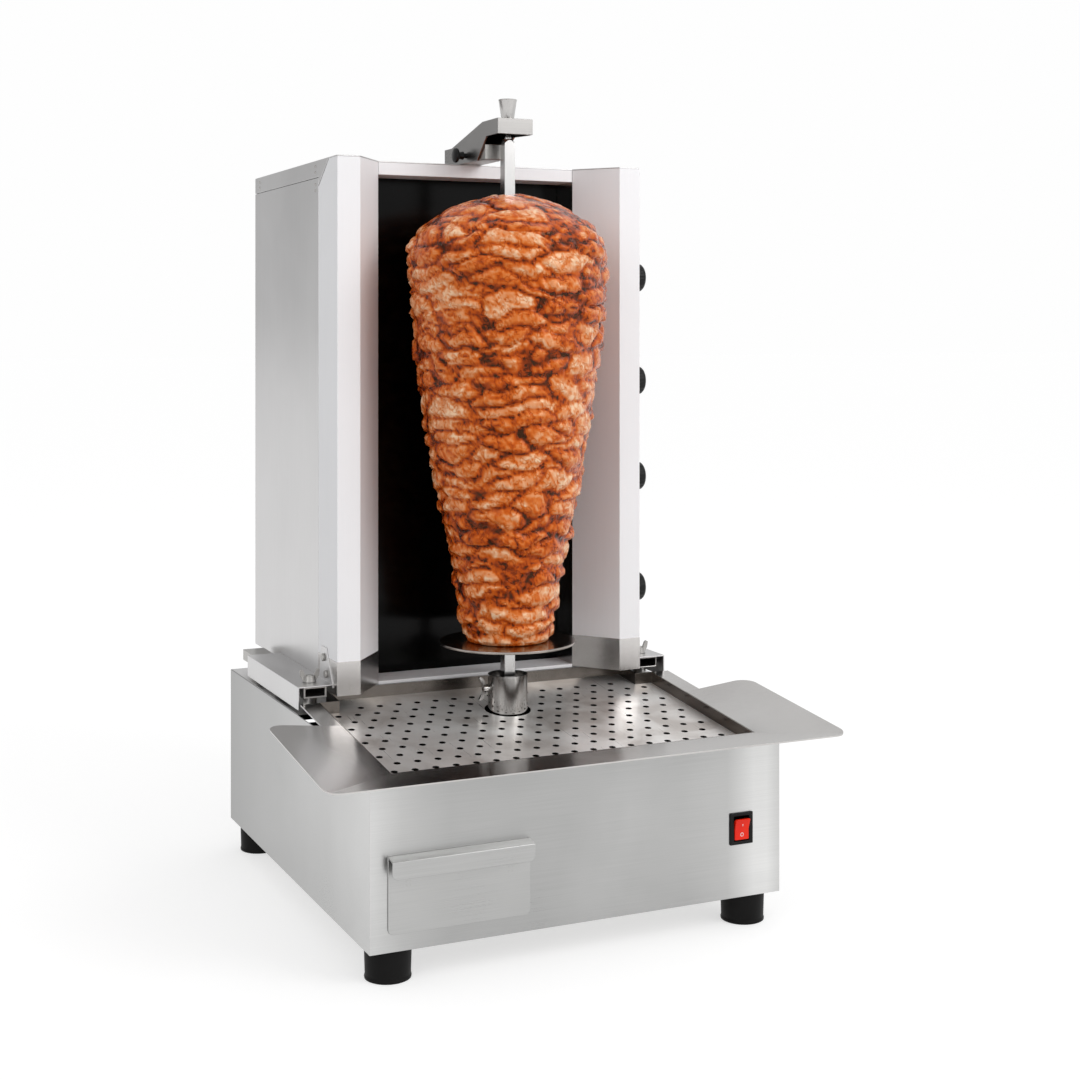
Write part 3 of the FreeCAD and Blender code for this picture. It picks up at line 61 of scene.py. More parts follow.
# %% [markdown]
# ## Helpers for modelling
# An operator works on whatever is selected, so each step starts with nothing selected. When a
# piece is done, its place is baked into its mesh, its edges are rounded, and the shading is told
# which faces are meant to be flat.

# %% Settling a piece
def start_fresh():
    """Leave edit mode, select nothing and go back to picking vertices."""
    if bpy.context.object and bpy.context.object.mode != "OBJECT":
        bpy.ops.object.mode_set(mode="OBJECT")
    bpy.ops.object.select_all(action="DESELECT")
    bpy.context.tool_settings.mesh_select_mode = (True, False, False)


def settle(piece, angle=35):
    """Bake the object's place into its mesh and shade it smooth across small angles."""
    start_fresh()
    piece.select_set(True)
    bpy.context.view_layer.objects.active = piece
    bpy.ops.object.transform_apply(location=True, rotation=True, scale=True)
    bpy.ops.object.shade_smooth_by_angle(angle=math.radians(angle))
    return piece


def bevelled(piece, width, segments=2, angle=30):
    """Round the piece's sharp edges by a bevel, applied."""
    modifier = piece.modifiers.new("edges", "BEVEL")
    modifier.width = width
    modifier.segments = segments
    modifier.limit_method = "ANGLE"
    modifier.angle_limit = math.radians(angle)
    bpy.context.view_layer.objects.active = piece
    bpy.ops.object.modifier_apply(modifier=modifier.name)
    return piece


def flat_faces(piece):
    """Keep flat faces flat beside their rounded edges: large faces rule the shading."""
    modifier = piece.modifiers.new("shading", "WEIGHTED_NORMAL")
    modifier.mode = "FACE_AREA"
    modifier.weight = 60
    modifier.keep_sharp = True
    bpy.context.view_layer.objects.active = piece
    bpy.ops.object.modifier_apply(modifier=modifier.name)
    return piece


# %% [markdown]
# A sheet part is a merged copy of its node with a small bevel, not a shader that fakes round
# edges. The node's mesh comes in triangles, so the copy's flat faces are made whole again before
# the bevel.

# %% Copies of nodes
MERGE_MM, FLAT_DEG, FOLD_DEG = 0.01, 0.5, 50


def merged_copy(node, name):
    """A copy of a node with whole flat faces, active and selected."""
    start_fresh()
    piece = bpy.data.objects.new(name, frame["nodes"][node].data.copy())
    piece.data.materials.clear()
    bpy.context.scene.collection.objects.link(piece)
    piece.select_set(True)
    bpy.context.view_layer.objects.active = piece
    bpy.ops.object.mode_set(mode="EDIT")
    bpy.ops.mesh.select_all(action="SELECT")
    bpy.ops.mesh.customdata_custom_splitnormals_clear()
    bpy.ops.mesh.remove_doubles(threshold=MERGE_MM * MM)
    bpy.ops.mesh.dissolve_limited(angle_limit=math.radians(FLAT_DEG))
    bpy.ops.object.mode_set(mode="OBJECT")
    return piece


def dressed_copy(node, edge_mm):
    """A merged copy of a node with rounded edges, which stands for the node."""
    piece = merged_copy(node, node + "_dressed")
    if edge_mm:
        bevelled(piece, edge_mm * MM)
    settle(piece, FOLD_DEG)
    if edge_mm:
        flat_faces(piece)
    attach(piece, BODY_OF[node])
    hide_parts(node)
    return piece


# %% [markdown]
# A turned part, such as a foot or a knob, is drawn as half of its section and spun.

# %% Turned parts
UP, RIGHT, LEFT = Vector((0, 0, 1)), Vector((1, 0, 0)), Vector((-1, 0, 0))
FRONT, BACK = Vector((0, -1, 0)), Vector((0, 1, 0))
SEAM_MERGE_MM = 0.02


def spun(name, outline_mm, centre, along=UP, steps=48):
    """A turned part: (radius, height) points in millimetres, spun about a line from centre."""
    start_fresh()
    out = along.orthogonal().normalized()
    points = [centre + out * radius * MM + along * height * MM for radius, height in outline_mm]
    bpy.ops.mesh.primitive_circle_add(vertices=3, radius=MM, location=points[0])
    piece = bpy.context.object
    piece.name = name
    bpy.ops.object.transform_apply(location=True)
    bpy.ops.object.mode_set(mode="EDIT")
    bpy.ops.mesh.merge(type="CENTER")
    for here, there in zip(points, points[1:]):
        bpy.ops.mesh.extrude_region_move(TRANSFORM_OT_translate={"value": there - here})
    bpy.ops.mesh.select_all(action="SELECT")
    bpy.ops.mesh.spin(steps=steps, angle=math.tau, center=centre, axis=along)
    bpy.ops.mesh.select_all(action="SELECT")
    bpy.ops.mesh.remove_doubles(threshold=SEAM_MERGE_MM * MM)
    bpy.ops.mesh.normals_make_consistent(inside=False)
    bpy.ops.object.mode_set(mode="OBJECT")
    return settle(piece)


def joined(pieces, name):
    """Several meshes of one finish as one piece."""
    start_fresh()
    for piece in pieces:
        piece.select_set(True)
    bpy.context.view_layer.objects.active = pieces[0]
    bpy.ops.object.join()
    pieces[0].name = name
    return pieces[0]


# %% [markdown]
# ## Materials from real finishes
# A material is a small tree of nodes. One function adds a node, sets its values and links its
# inputs. Colours are written as the sRGB hex values a painter would pick, and turned to the linear
# values that light adds up in. Pattern scales come from real sizes in millimetres.


# %% Node helper
def linear(hex_code):
    """An sRGB hex colour as linear red, green, blue and alpha."""
    parts = [int(hex_code[k:k + 2], 16) / 255 for k in (1, 3, 5)]
    curved = [c / 12.92 if c <= 0.04045 else ((c + 0.055) / 1.055) ** 2.4 for c in parts]
    return (*curved, 1.0)


def add(tree, kind, values=None, links=None, stops=(), **settings):
    """One shader node with its values, its links, its colour stops and its own settings."""
    made = tree.nodes.new("ShaderNode" + kind)
    for key, value in settings.items():
        setattr(made, key, value)
    for k, (place, colour) in enumerate(stops):
        band = made.color_ramp.elements
        stop = band[k] if k < len(band) else band.new(place)
        stop.position, stop.color = place, linear(colour)
    for socket, value in (values or {}).items():
        made.inputs[socket].default_value = value
    for socket, source in (links or {}).items():
        tree.links.new(source, made.inputs[socket])
    return made


def new_material(name):
    """An empty material and its node tree, with the output node in place."""
    material = bpy.data.materials.new(name)
    material.use_nodes = True
    material.node_tree.nodes.clear()
    output = add(material.node_tree, "OutputMaterial")
    return material, material.node_tree, output

# %% [markdown]
# ## Stainless sheet
# The grill is made of 1.5 mm austenitic stainless sheet with a fine satin finish. To the eye that
# is a soft mirror: reflections are drawn out across the grain, with slightly cloudy patches where
# it was wiped. So most finishes are fully metallic, a noise stretched along one axis is the grain,
# and a second one, about a hand wide, varies the roughness. The real grain is near 0.1 mm; it is
# drawn at 0.9 mm so that it shows at all. The wings and the plate are scuffed so finely that they
# scatter light as paper does, which a smaller metallic share stands for.

# %% Grain and wipe sizes
GRAIN_MM, GRAIN_LENGTH_MM, WIPE_MM, GRAIN_RELIEF = 0.9, 90.0, 170.0, 0.03

# %% [markdown]
# The casing has long soft bands across its width, which are painted reflections. They are the
# stops of a colour ramp, laid from its left side to its right, that multiply the steel's colour.
# Toward the back the colour gets darker, which is painted shade.

# %% Painted sheen and shade of the casing
# painted reflections: bright bands across the casing; the fade is painted shade toward its back
PAINTED_SHEEN_STOPS = [(0.0, "#F0F0F0"), (0.07, "#DCDCDC"), (0.18, "#CECECE"), (0.75, "#D0D0D0"),
         (0.86, "#DADADA"), (0.93, "#FDFDFD"), (0.965, "#FFFFFF"), (1.0, "#EAEAEA")]
PAINTED_SHADE_AT_BACK = 0.5


def with_painted_sheen(tree, place, colour):
    """The colour with painted reflection bands across the casing and painted shade to its back."""
    low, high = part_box("base_casing")
    at = add(tree, "SeparateXYZ", {}, {0: place}).outputs
    across = add(tree, "MapRange", {"From Min": low.x, "From Max": high.x}, {"Value": at["X"]})
    back = add(tree, "MapRange", {"From Min": low.y, "From Max": high.y, "To Min": 1.0,
                                  "To Max": PAINTED_SHADE_AT_BACK}, {"Value": at["Y"]})
    painted_sheen = add(tree, "ValToRGB", {}, {"Fac": across.outputs[0]}, stops=PAINTED_SHEEN_STOPS)
    banded = add(tree, "VectorMath", {}, {0: colour, 1: painted_sheen.outputs["Color"]},
                 operation="MULTIPLY")
    faded = add(tree, "VectorMath", {}, {0: banded.outputs[0], "Scale": back.outputs[0]},
                operation="SCALE")
    return faded.outputs[0]


# %% [markdown]
# The noises of the grain and of the wiping are added up once, and the sum picks both the tone and
# the roughness, so a cloudy patch is a little paler as well as duller.


# %% Satin stainless
def stainless(name, dark, light, roughness, along="Z", spread=0.07, smear=0.0, metallic=1.0,
              painted_sheen=False):
    """Satin stainless steel with its grain along one axis; smear draws its reflections out."""
    material, tree, output = new_material(name)
    place = add(tree, "TexCoord").outputs["Object"]
    stretch = [1 / (GRAIN_LENGTH_MM * MM) if a == along else 1 / (GRAIN_MM * MM) for a in "XYZ"]
    grain_place = add(tree, "Mapping", {"Scale": stretch}, {"Vector": place})
    grain = add(tree, "TexNoise", {"Scale": 1.0, "Detail": 2.0}, {"Vector": grain_place.outputs[0]})
    wipe = add(tree, "TexNoise", {"Scale": 1 / (WIPE_MM * MM), "Detail": 3.0, "Distortion": 0.4},
               {"Vector": place})
    both = add(tree, "Math", {1: 0.3}, {0: grain.outputs[0]}, operation="MULTIPLY")
    mixed = add(tree, "Math", {1: 0.7}, {0: wipe.outputs[0], 2: both.outputs[0]},
                operation="MULTIPLY_ADD")
    rough = add(tree, "MapRange", {"From Min": 0.3, "From Max": 0.7,
                                   "To Min": roughness - spread / 2,
                                   "To Max": roughness + spread / 2}, {"Value": mixed.outputs[0]})
    relief = add(tree, "Bump", {"Strength": GRAIN_RELIEF, "Distance": 0.1 * MM},
                 {"Height": grain.outputs[0]})
    colour = add(tree, "ValToRGB", {}, {"Fac": mixed.outputs[0]},
                 stops=[(0.3, dark), (0.7, light)]).outputs["Color"]
    # the casing's painted reflection bands and painted shade toward its back
    if painted_sheen:
        colour = with_painted_sheen(tree, place, colour)
    shader = add(tree, "BsdfPrincipled", {"Metallic": metallic, "Anisotropic": smear,
                                          "Anisotropic Rotation": 0.25 if along == "X" else 0.0},
                 {"Base Color": colour, "Roughness": rough.outputs[0], "Normal": relief.outputs[0]})
    if smear:
        round_z = add(tree, "Tangent", direction_type="RADIAL", axis="Z")
        tree.links.new(round_z.outputs[0], shader.inputs["Tangent"])
    tree.links.new(shader.outputs[0], output.inputs["Surface"])
    return material


# %% [markdown]
# Every metal piece takes one of these: a dark and a light tone, a roughness, and the way its grain
# runs. The tray under the plate is darker, which is painted shade in the recess under the plate.
# The disc is darker, from the fat that stays on it. Turned pieces are smoother and smear their
# light round them. Zinc plating is grey and uneven.

# %% Metal finishes
FINISH = {
    # the casing's colour carries painted reflection bands and painted shade toward its back
    "casing": stainless("satin_stainless_casing_painted_sheen", "#CACAC9", "#DFDFDE", 0.3, "X", smear=0.6,
                        painted_sheen=True),
    "base_front": stainless("satin_stainless_base", "#ABABAA", "#BDBDBC", 0.3, "X", smear=0.6),
    "sheet": stainless("satin_stainless_sheet", "#CBCACA", "#D9D8D8", 0.34, smear=0.4),
    "bright": stainless("bright_stainless_wing", "#F3F3F5", "#F9F9FB", 0.6, metallic=0.15),
    "pan": stainless("polished_stainless_pan", "#B5B2B0", "#CBC9C7", 0.2, "X", 0.12),
    # painted shade: the tray's darker tones stand for the shade in the recess under the plate
    "tray": stainless("painted_shade_tray", "#6C6661", "#857F79", 0.22, "X", 0.12),
    "arm": stainless("ground_stainless_arm", "#8C8A89", "#A09E9C", 0.3, "X"),
    "mirror": stainless("polished_stainless_cap", "#C0BDBB", "#D4D1CF", 0.2),
    "bar": stainless("drawn_stainless_bar", "#B4B3B2", "#C6C5C4", 0.22),
    "turned": stainless("turned_stainless", "#A8A6A4", "#C2C0BE", 0.14, smear=0.5),
    "disc": stainless("oiled_stainless_disc", "#8C847E", "#AEA7A1", 0.2, "X", 0.1),
    "zinc": stainless("zinc_plated_steel", "#9C9A97", "#BBB9B6", 0.3, "Z", 0.12),
}


# %% [markdown]
# The loose plate is scrubbed after each shift, so it is scratched dull and bright. Every face that
# doesn't face up, such as the walls of its drain holes, is painted near black as shade. The walls
# of the holes are told from the flat face by their normal: it lies level there.

# %% Scrubbed plate with painted shade
WORN_MM, SCRATCH_MM, SCRATCH_LENGTH_MM = 60.0, 1.6, 70.0


def scrubbed_plate_painted_shade():
    """Scratched bright plate; its hole walls and faces not facing up are painted black as shade."""
    material, tree, output = new_material("scrubbed_stainless_plate_painted_shade")
    at = add(tree, "TexCoord").outputs
    worn = add(tree, "TexNoise", {"Scale": 1 / (WORN_MM * MM), "Detail": 4.0, "Distortion": 0.6},
               {"Vector": at["Object"]})
    stretch = (1 / (SCRATCH_MM * MM), 1 / (SCRATCH_LENGTH_MM * MM), 1)
    scratch_place = add(tree, "Mapping", {"Scale": stretch}, {"Vector": at["Object"]})
    scratch = add(tree, "TexNoise", {"Scale": 1.0, "Detail": 3.0},
                  {"Vector": scratch_place.outputs[0]})
    steel = add(tree, "ValToRGB", {}, {"Fac": worn.outputs[0]},
                stops=[(0.34, "#C2BCB7"), (0.5, "#E2DFDC"), (0.66, "#F2F1EF")])
    facing = add(tree, "SeparateXYZ", {}, {0: at["Normal"]})
    flat = add(tree, "MapRange", {"From Min": 0.5, "From Max": 0.8}, {"Value": facing.outputs["Z"]})
    # painted shade: faces that don't face up, the hole walls among them, are near black
    colour = add(tree, "Mix", {"A": linear("#0B0806")},
                 {"Factor": flat.outputs[0], "B": steel.outputs["Color"]}, data_type="RGBA")
    rough = add(tree, "MapRange", {"To Min": 0.22, "To Max": 0.4}, {"Value": scratch.outputs[0]})
    relief = add(tree, "Bump", {"Strength": 0.05, "Distance": 0.1 * MM},
                 {"Height": scratch.outputs[0]})
    shader = add(tree, "BsdfPrincipled", {"Metallic": 0.55},
                 {"Base Color": colour.outputs["Result"], "Roughness": rough.outputs[0],
                  "Normal": relief.outputs[0]})
    tree.links.new(shader.outputs[0], output.inputs["Surface"])
    return material


FINISH["plate"] = scrubbed_plate_painted_shade()

# %% [markdown]
# ## Plastics, rubber and glass
# The knobs are moulded phenolic: near black, with a faint orange-peel skin. The feet are rubber,
# duller and a little dusty. The heater's front is black glass ceramic, which is polished and
# reflects only at its surface. The rocker is clear-red polycarbonate. Out of sight, the motor is
# enamelled, its bush is sintered bronze, the elements' sheaths are oxidised brown and the heater
# is backed with mineral fibre, and all of these are matt.


# %% Moulded finishes
PATCH_MM = 40.0


def moulded(name, dark, light, roughness, skin_mm, bump, coat=0.0, specular=0.5):
    """A moulded or cast surface: a colour that drifts a little and a fine skin."""
    material, tree, output = new_material(name)
    place = add(tree, "TexCoord").outputs["Object"]
    skin = add(tree, "TexNoise", {"Scale": 1 / (skin_mm * MM), "Detail": 2.0}, {"Vector": place})
    patch = add(tree, "TexNoise", {"Scale": 1 / (PATCH_MM * MM), "Detail": 3.0}, {"Vector": place})
    relief = add(tree, "Bump", {"Strength": bump, "Distance": 0.2 * MM},
                 {"Height": skin.outputs[0]})
    rough = add(tree, "MapRange", {"To Min": roughness * 0.8, "To Max": roughness * 1.2},
                {"Value": patch.outputs[0]})
    colour = add(tree, "ValToRGB", {}, {"Fac": patch.outputs[0]},
                 stops=[(0.35, dark), (0.65, light)]).outputs["Color"]
    shader = add(tree, "BsdfPrincipled", {"Coat Weight": coat, "Coat Roughness": 0.08,
                                          "Specular IOR Level": specular},
                 {"Base Color": colour, "Roughness": rough.outputs[0], "Normal": relief.outputs[0]})
    tree.links.new(shader.outputs[0], output.inputs["Surface"])
    return material


FINISH.update({
    "phenolic": moulded("black_phenolic", "#050506", "#0B0B0C", 0.34, 1.2, 0.08, specular=0.25),
    "nylon": moulded("black_nylon", "#060606", "#0D0D0D", 0.4, 1.0, 0.1, specular=0.2),
    "rubber": moulded("black_rubber", "#070606", "#0E0D0D", 0.52, 1.5, 0.15, specular=0.15),
    "glass": moulded("black_glass_ceramic", "#010101", "#020202", 0.16, 30.0, 0.0, specular=0.12),
    "red": moulded("red_polycarbonate", "#F01E04", "#FF3210", 0.3, 2.0, 0.02, specular=0.3),
    "white_ink": moulded("white_ink", "#E9E9E6", "#F2F2EF", 0.5, 1.0, 0.05),
    "enamel": moulded("grey_enamel", "#24282B", "#2E3236", 0.42, 1.4, 0.12),
    "bronze": moulded("sintered_bronze", "#7C5A2A", "#93703A", 0.45, 0.8, 0.2),
    "sheath": moulded("oxidised_sheath", "#2B2420", "#3A302A", 0.5, 0.8, 0.2),
    "fibre": moulded("mineral_fibre", "#CFC9BC", "#DDD8CC", 0.9, 1.5, 0.5),
})
print("finishes", len(FINISH))

# %% [markdown]
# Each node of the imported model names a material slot. A node whose shape is right as it is keeps
# its mesh, and only its slots get their finish here.

# %% Finishes by slot
SLOT_FINISH = {
    "sheet_steel": "sheet", "panel_steel": "bright", "pan_steel": "pan", "plate_steel": "plate",
    "skewer_steel": "bar", "inner_steel": "zinc", "screw_steel": "zinc", "black_glass": "glass",
    "foot_rubber": "rubber", "knob_plastic": "phenolic", "switch_black": "nylon",
    "switch_red": "red", "motor_paint": "enamel", "bearing_bronze": "bronze",
    "element_sheath": "sheath", "insulation": "fibre",
}


def finish(piece, name):
    """Give a piece one of the finishes."""
    piece.data.materials.clear()
    piece.data.materials.append(FINISH[name])
    return piece


for node_name, slot_name in SLOT_OF.items():
    if slot_name in SLOT_FINISH:
        target = frame["nodes"][node_name]
        for material_slot in target.material_slots:
            material_slot.material = FINISH[SLOT_FINISH[slot_name]]
print("slots", len(SLOT_FINISH))

# %% [markdown]
# ## Sheet metal with rounded edges
# Every visible sheet or machined piece becomes a merged copy with a bevel. A cut edge gets a
# third to half of a millimetre, a drawn or machined one more. The table gives each piece its edge
# in millimetres and its finish. A wing's narrow returns beside the glass are polished, so they
# mirror the black.

# %% Sheet pieces
DRESSED = {
    "base_casing": (0.6, "casing"), "base_back": (0.3, "sheet"), "base_deck": (0.3, "sheet"),
    "drip_pan": (0.35, "tray"), "pan_rim": (0.4, "pan"), "drawer_front": (0.4, "base_front"),
    "drawer_box": (0.3, "sheet"),
    "wing_left": (0.6, "bright"), "wing_right": (0.6, "bright"), "top_cover": (0.5, "sheet"),
    "side_panel_left": (0.4, "sheet"), "side_panel_right": (0.4, "sheet"),
    "trim_top": (0.4, "bright"), "trim_bottom": (0.4, "bright"), "carriage_left": (0.5, "sheet"),
    "carriage_right": (0.5, "sheet"), "rail_left": (1.2, "zinc"), "rail_right": (1.2, "zinc"),
    "top_arm": (0.6, "arm"), "arm_guide": (0.8, "zinc"), "skewer_bar": (0.9, "bar"),
    "meat_disc": (0.7, "disc"), "drive_collar": (0.7, "turned"), "gland_plate": (0.4, "bright"),
    "glass_panel": (0.6, "glass"), "collar_wing_screw": (0.9, "turned"),
    "clamp_screw_left": (0.9, "zinc"), "clamp_screw_right": (0.9, "zinc"),
    "gusset_bolts": (0.8, "zinc"), "switch_housing": (1.1, "nylon"), "switch_rocker": (0.9, "red"),
    "cable_gland": (0.7, "nylon"), "mains_gland": (0.9, "nylon"),
    "tower_back_panel": (0.3, "sheet"),
}
for node_name, (edge, look) in DRESSED.items():
    finish(dressed_copy(node_name, edge), look)
SIDEWAYS = 0.95
for side, inward in (("left", 1), ("right", -1)):
    wing = bpy.data.objects["wing_%s_dressed" % side]
    wing.data.materials.append(FINISH["mirror"])
    for face in wing.data.polygons:
        if face.normal.x * inward > SIDEWAYS:
            face.material_index = 1
print("dressed", len(DRESSED))

# %% [markdown]
# ## Caps at the wings' feet
# A separate polished cap closes the lowest few centimetres of each wing, where a hand holds the
# tower. It follows the wing's section, so it is the wing itself, cut off above the seam and grown
# by a third of a millimetre.

# %% Wing caps
CAP_SEAM_MM, CAP_GROW_MM, CAP_EDGE_MM = 281.0, 0.35, 0.25
for side in ("left", "right"):
    cap = merged_copy("wing_" + side, "wing_cap_" + side)
    bpy.ops.object.mode_set(mode="EDIT")
    bpy.ops.mesh.select_all(action="SELECT")
    bpy.ops.mesh.bisect(plane_co=(0, 0, CAP_SEAM_MM * MM), plane_no=(0, 0, 1), use_fill=True,
                        clear_outer=True)
    bpy.ops.mesh.select_all(action="SELECT")
    bpy.ops.transform.shrink_fatten(value=CAP_GROW_MM * MM, use_even_offset=True)
    bpy.ops.object.mode_set(mode="OBJECT")
    bevelled(cap, CAP_EDGE_MM * MM)
    flat_faces(settle(cap, FOLD_DEG))
    finish(cap, "mirror")
    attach(cap, "tower")

# %% [markdown]
# ## The drawer's grip
# The grip is a strip folded forward and down over the drawer's front, with its corners cut round
# so that they don't catch a hand. The node has the fold. Here the fold's top is raised a little,
# the two lower corners of the lip are beveled wide, and then every edge is rounded a little.

# %% Drawer grip
FOLD_RAISE_MM, FOLD_ABOVE_MM, NEAR = 5.5, 8.0, 0.1 * MM
GRIP_CORNER_MM, GRIP_EDGE_MM = 6.0, 0.45


def rounded_ends(node, corner_mm):
    """A copy of a node whose lowest front corners are cut to a radius."""
    piece = dressed_copy(node, 0)
    low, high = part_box(node)
    for vertex in piece.data.vertices:
        if vertex.co.y < (low.y + high.y) / 2 and vertex.co.z > low.z + FOLD_ABOVE_MM * MM:
            vertex.co.z += FOLD_RAISE_MM * MM
    start_fresh()
    piece.select_set(True)
    bpy.context.view_layer.objects.active = piece
    bpy.ops.object.mode_set(mode="EDIT")
    bpy.ops.mesh.select_mode(type="EDGE")
    bpy.ops.mesh.select_all(action="DESELECT")
    bpy.ops.object.mode_set(mode="OBJECT")
    vertices = piece.data.vertices
    for edge in piece.data.edges:
        a, b = (vertices[v].co for v in edge.vertices)
        at_end = abs(a.x - b.x) < NEAR and min(a.x - low.x, high.x - a.x) < NEAR
        at_foot = abs(a.z - low.z) < NEAR and abs(b.z - low.z) < NEAR
        edge.select = at_end and at_foot
    bpy.ops.object.mode_set(mode="EDIT")
    bpy.ops.mesh.bevel(offset=corner_mm * MM, segments=8, affect="EDGES")
    bpy.ops.object.mode_set(mode="OBJECT")
    bevelled(piece, GRIP_EDGE_MM * MM)
    return flat_faces(settle(piece, FOLD_DEG))


finish(rounded_ends("drawer_grip", GRIP_CORNER_MM), "base_front")

# %% [markdown]
# ## Feet
# The four feet are plain black rubber cylinders with a flared sole and a chamfered top. A foot is
# turned, so it is spun from half of its section.

# %% Feet
base_low, base_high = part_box("base_casing")
feet_low, feet_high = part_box("feet")
FOOT_RADIUS_MM, FOOT_HEIGHT_MM = 25.0, base_low.z / MM
foot_outline = [(0, 0), (22.6, 0), (24.0, 0.7), (24.3, 2.2), (24.0, 3.6), (23.6, 4.4), (23.6, 5.2),
                (24.4, FOOT_HEIGHT_MM - 2.5), (24.0, FOOT_HEIGHT_MM - 0.6), (22.8, FOOT_HEIGHT_MM),
                (0, FOOT_HEIGHT_MM)]
feet = []
for x in (feet_low.x + FOOT_RADIUS_MM * MM, feet_high.x - FOOT_RADIUS_MM * MM):
    for y in (feet_low.y + FOOT_RADIUS_MM * MM, feet_high.y - FOOT_RADIUS_MM * MM):
        feet.append(spun("foot", foot_outline, Vector((x, y, 0)), steps=64))
feet_piece = finish(joined(feet, "rubber_feet"), "rubber")
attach(feet_piece, "base")
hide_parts("feet")

# %% [markdown]
# ## Heat knobs
# Each knob is a phenolic moulding, a wide fluted drum with a domed face. The flutes are shallow
# hollows round it: a spun body with many steps is drawn in and out by a cosine of the angle. A
# white line on the face shows where the knob points. One function makes all four.

# %% Knobs
KNOB_NODES = ["control_knob_%d" % k for k in (1, 2, 3, 4)]
FLUTES, FLUTE_DEPTH_MM = 18, 0.8
FLUTE_INSIDE_MM, FLUTE_START_MM, FLUTE_END_MM = 15.0, 3.0, 2.0
POINTER_MM, POINTER_UP_MM, POINTER_EDGE_MM = (0.5, 1.2, 8.5), 8.0, 0.2


def knob_centre(node):
    """Where a knob's axis meets its face against the wall."""
    low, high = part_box(node)
    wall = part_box("wing_right")[1].x
    return Vector((wall, (low.y + high.y) / 2, (low.z + high.z) / 2)), high.x - wall


def make_knob(node):
    """A fluted knob with its pointer line, standing for one knob node."""
    centre, reach = knob_centre(node)
    face = reach / MM
    outline = [(0, 1.0), (16.8, 1.0), (17.5, 1.6), (17.5, face - 4.6), (17.0, face - 2.6),
               (15.6, face - 1.1), (12.6, face - 0.3), (7.0, face), (0, face)]
    knob = spun(node + "_body", outline, centre, RIGHT, steps=FLUTES * 6)
    for vertex in knob.data.vertices:
        offset = vertex.co - centre
        radius = math.hypot(offset.y, offset.z)
        if (radius > FLUTE_INSIDE_MM * MM
                and FLUTE_START_MM * MM < offset.x < reach - FLUTE_END_MM * MM):
            turn = math.atan2(offset.z, offset.y)
            pull = 1 - FLUTE_DEPTH_MM * MM / radius * max(0.0, math.cos(turn * FLUTES)) ** 2
            vertex.co = centre + Vector((offset.x, offset.y * pull, offset.z * pull))
    start_fresh()
    at_face = centre + Vector((reach, 0, POINTER_UP_MM * MM))
    bpy.ops.mesh.primitive_cube_add(size=1, location=at_face)
    line = bpy.context.object
    line.scale = Vector(POINTER_MM) * MM
    settle(line)
    bevelled(line, POINTER_EDGE_MM * MM)
    line.name = node + "_pointer"
    for piece, look in ((knob, "phenolic"), (line, "white_ink")):
        finish(piece, look)
        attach(piece, BODY_OF[node])
    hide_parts(node)
    return knob


for node_name in KNOB_NODES:
    make_knob(node_name)
print("knobs", len(KNOB_NODES))

# %% [markdown]
# ## The arm's pin and its thumb screw
# The pin is a turned cone that widens upwards, with a waist below it and a polished top. The thumb
# screw is a black mushroom on a threaded neck. Both are spun; the thread is a row of small ridges.

# %% Pin and thumb screw
pin_low, pin_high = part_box("top_pin")
arm_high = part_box("top_arm")[1]
pin_centre = Vector(((pin_low.x + pin_high.x) / 2, (pin_low.y + pin_high.y) / 2, 0))
stem_foot, handle_foot, handle_top = (z / MM for z in (pin_low.z, arm_high.z, pin_high.z))
pin_outline = [(0, stem_foot), (3.2, stem_foot), (4.0, stem_foot + 0.8), (4.0, handle_foot + 0.3),
               (6.6, handle_foot + 0.3), (7.2, handle_foot + 0.9), (10.5, handle_top - 1.6),
               (11.0, handle_top - 0.9), (10.6, handle_top - 0.2), (9.6, handle_top),
               (0, handle_top)]
pin = finish(spun("top_pin_turned", pin_outline, pin_centre, steps=64), "turned")
screw_low, screw_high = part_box("arm_thumb_screw")
screw_centre = Vector((screw_high.x, (screw_low.y + screw_high.y) / 2,
                       (screw_low.z + screw_high.z) / 2))
length = (screw_high.x - screw_low.x) / MM
thread = [(r, 1.0 + 0.5 * k) for k, r in enumerate([3.0, 2.6] * 4)]
neck = [(4.6, 5.2), (5.0, 5.8), (4.4, 9.0), (4.2, length - 7.0)]
mushroom = [(6.0, length - 6.2), (8.4, length - 5.0), (9.0, length - 3.4), (8.4, length - 1.6),
            (6.0, length - 0.4), (0, length)]
thumb_outline = [(0, 0), (2.6, 0)] + thread + neck + mushroom
thumb = finish(spun("arm_thumb_screw_turned", thumb_outline, screw_centre, LEFT), "phenolic")
for piece, node_name in ((pin, "top_pin"), (thumb, "arm_thumb_screw")):
    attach(piece, BODY_OF[node_name])
    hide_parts(node_name)

# %% [markdown]
# ## Small screws and weld marks
# Small domed screws hold the covers, in pairs at the front and at the top. Each is spun: at this
# size its drive is no more than a dimple.

# %% Screw heads
SCREW_RADIUS_MM, SCREW_RISE_MM = 1.9, 0.9


def pan_screw(place, along, name):
    """One small domed screw head standing on a surface, with a dimple in its middle."""
    r, h = SCREW_RADIUS_MM, SCREW_RISE_MM
    outline = [(0, -0.4), (r, -0.4), (r, 0.3 * h), (0.86 * r, 0.75 * h), (0.55 * r, h),
               (0.42 * r, h), (0.3 * r, 0.45 * h), (0, 0.4 * h)]
    return spun(name, outline, place, along, 20)


def screws(name, places, along, body):
    """A set of screws on one face."""
    heads = [pan_screw(place, along, "%s_%d" % (name, k)) for k, place in enumerate(places)]
    made = finish(joined(heads, name), "zinc")
    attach(made, body)
    return made


# %% [markdown]
# The tower's cover is screwed to its side panels in pairs, seven millimetres apart. The tower's
# back sheet has three screws down each side, and the base's has one near each corner.

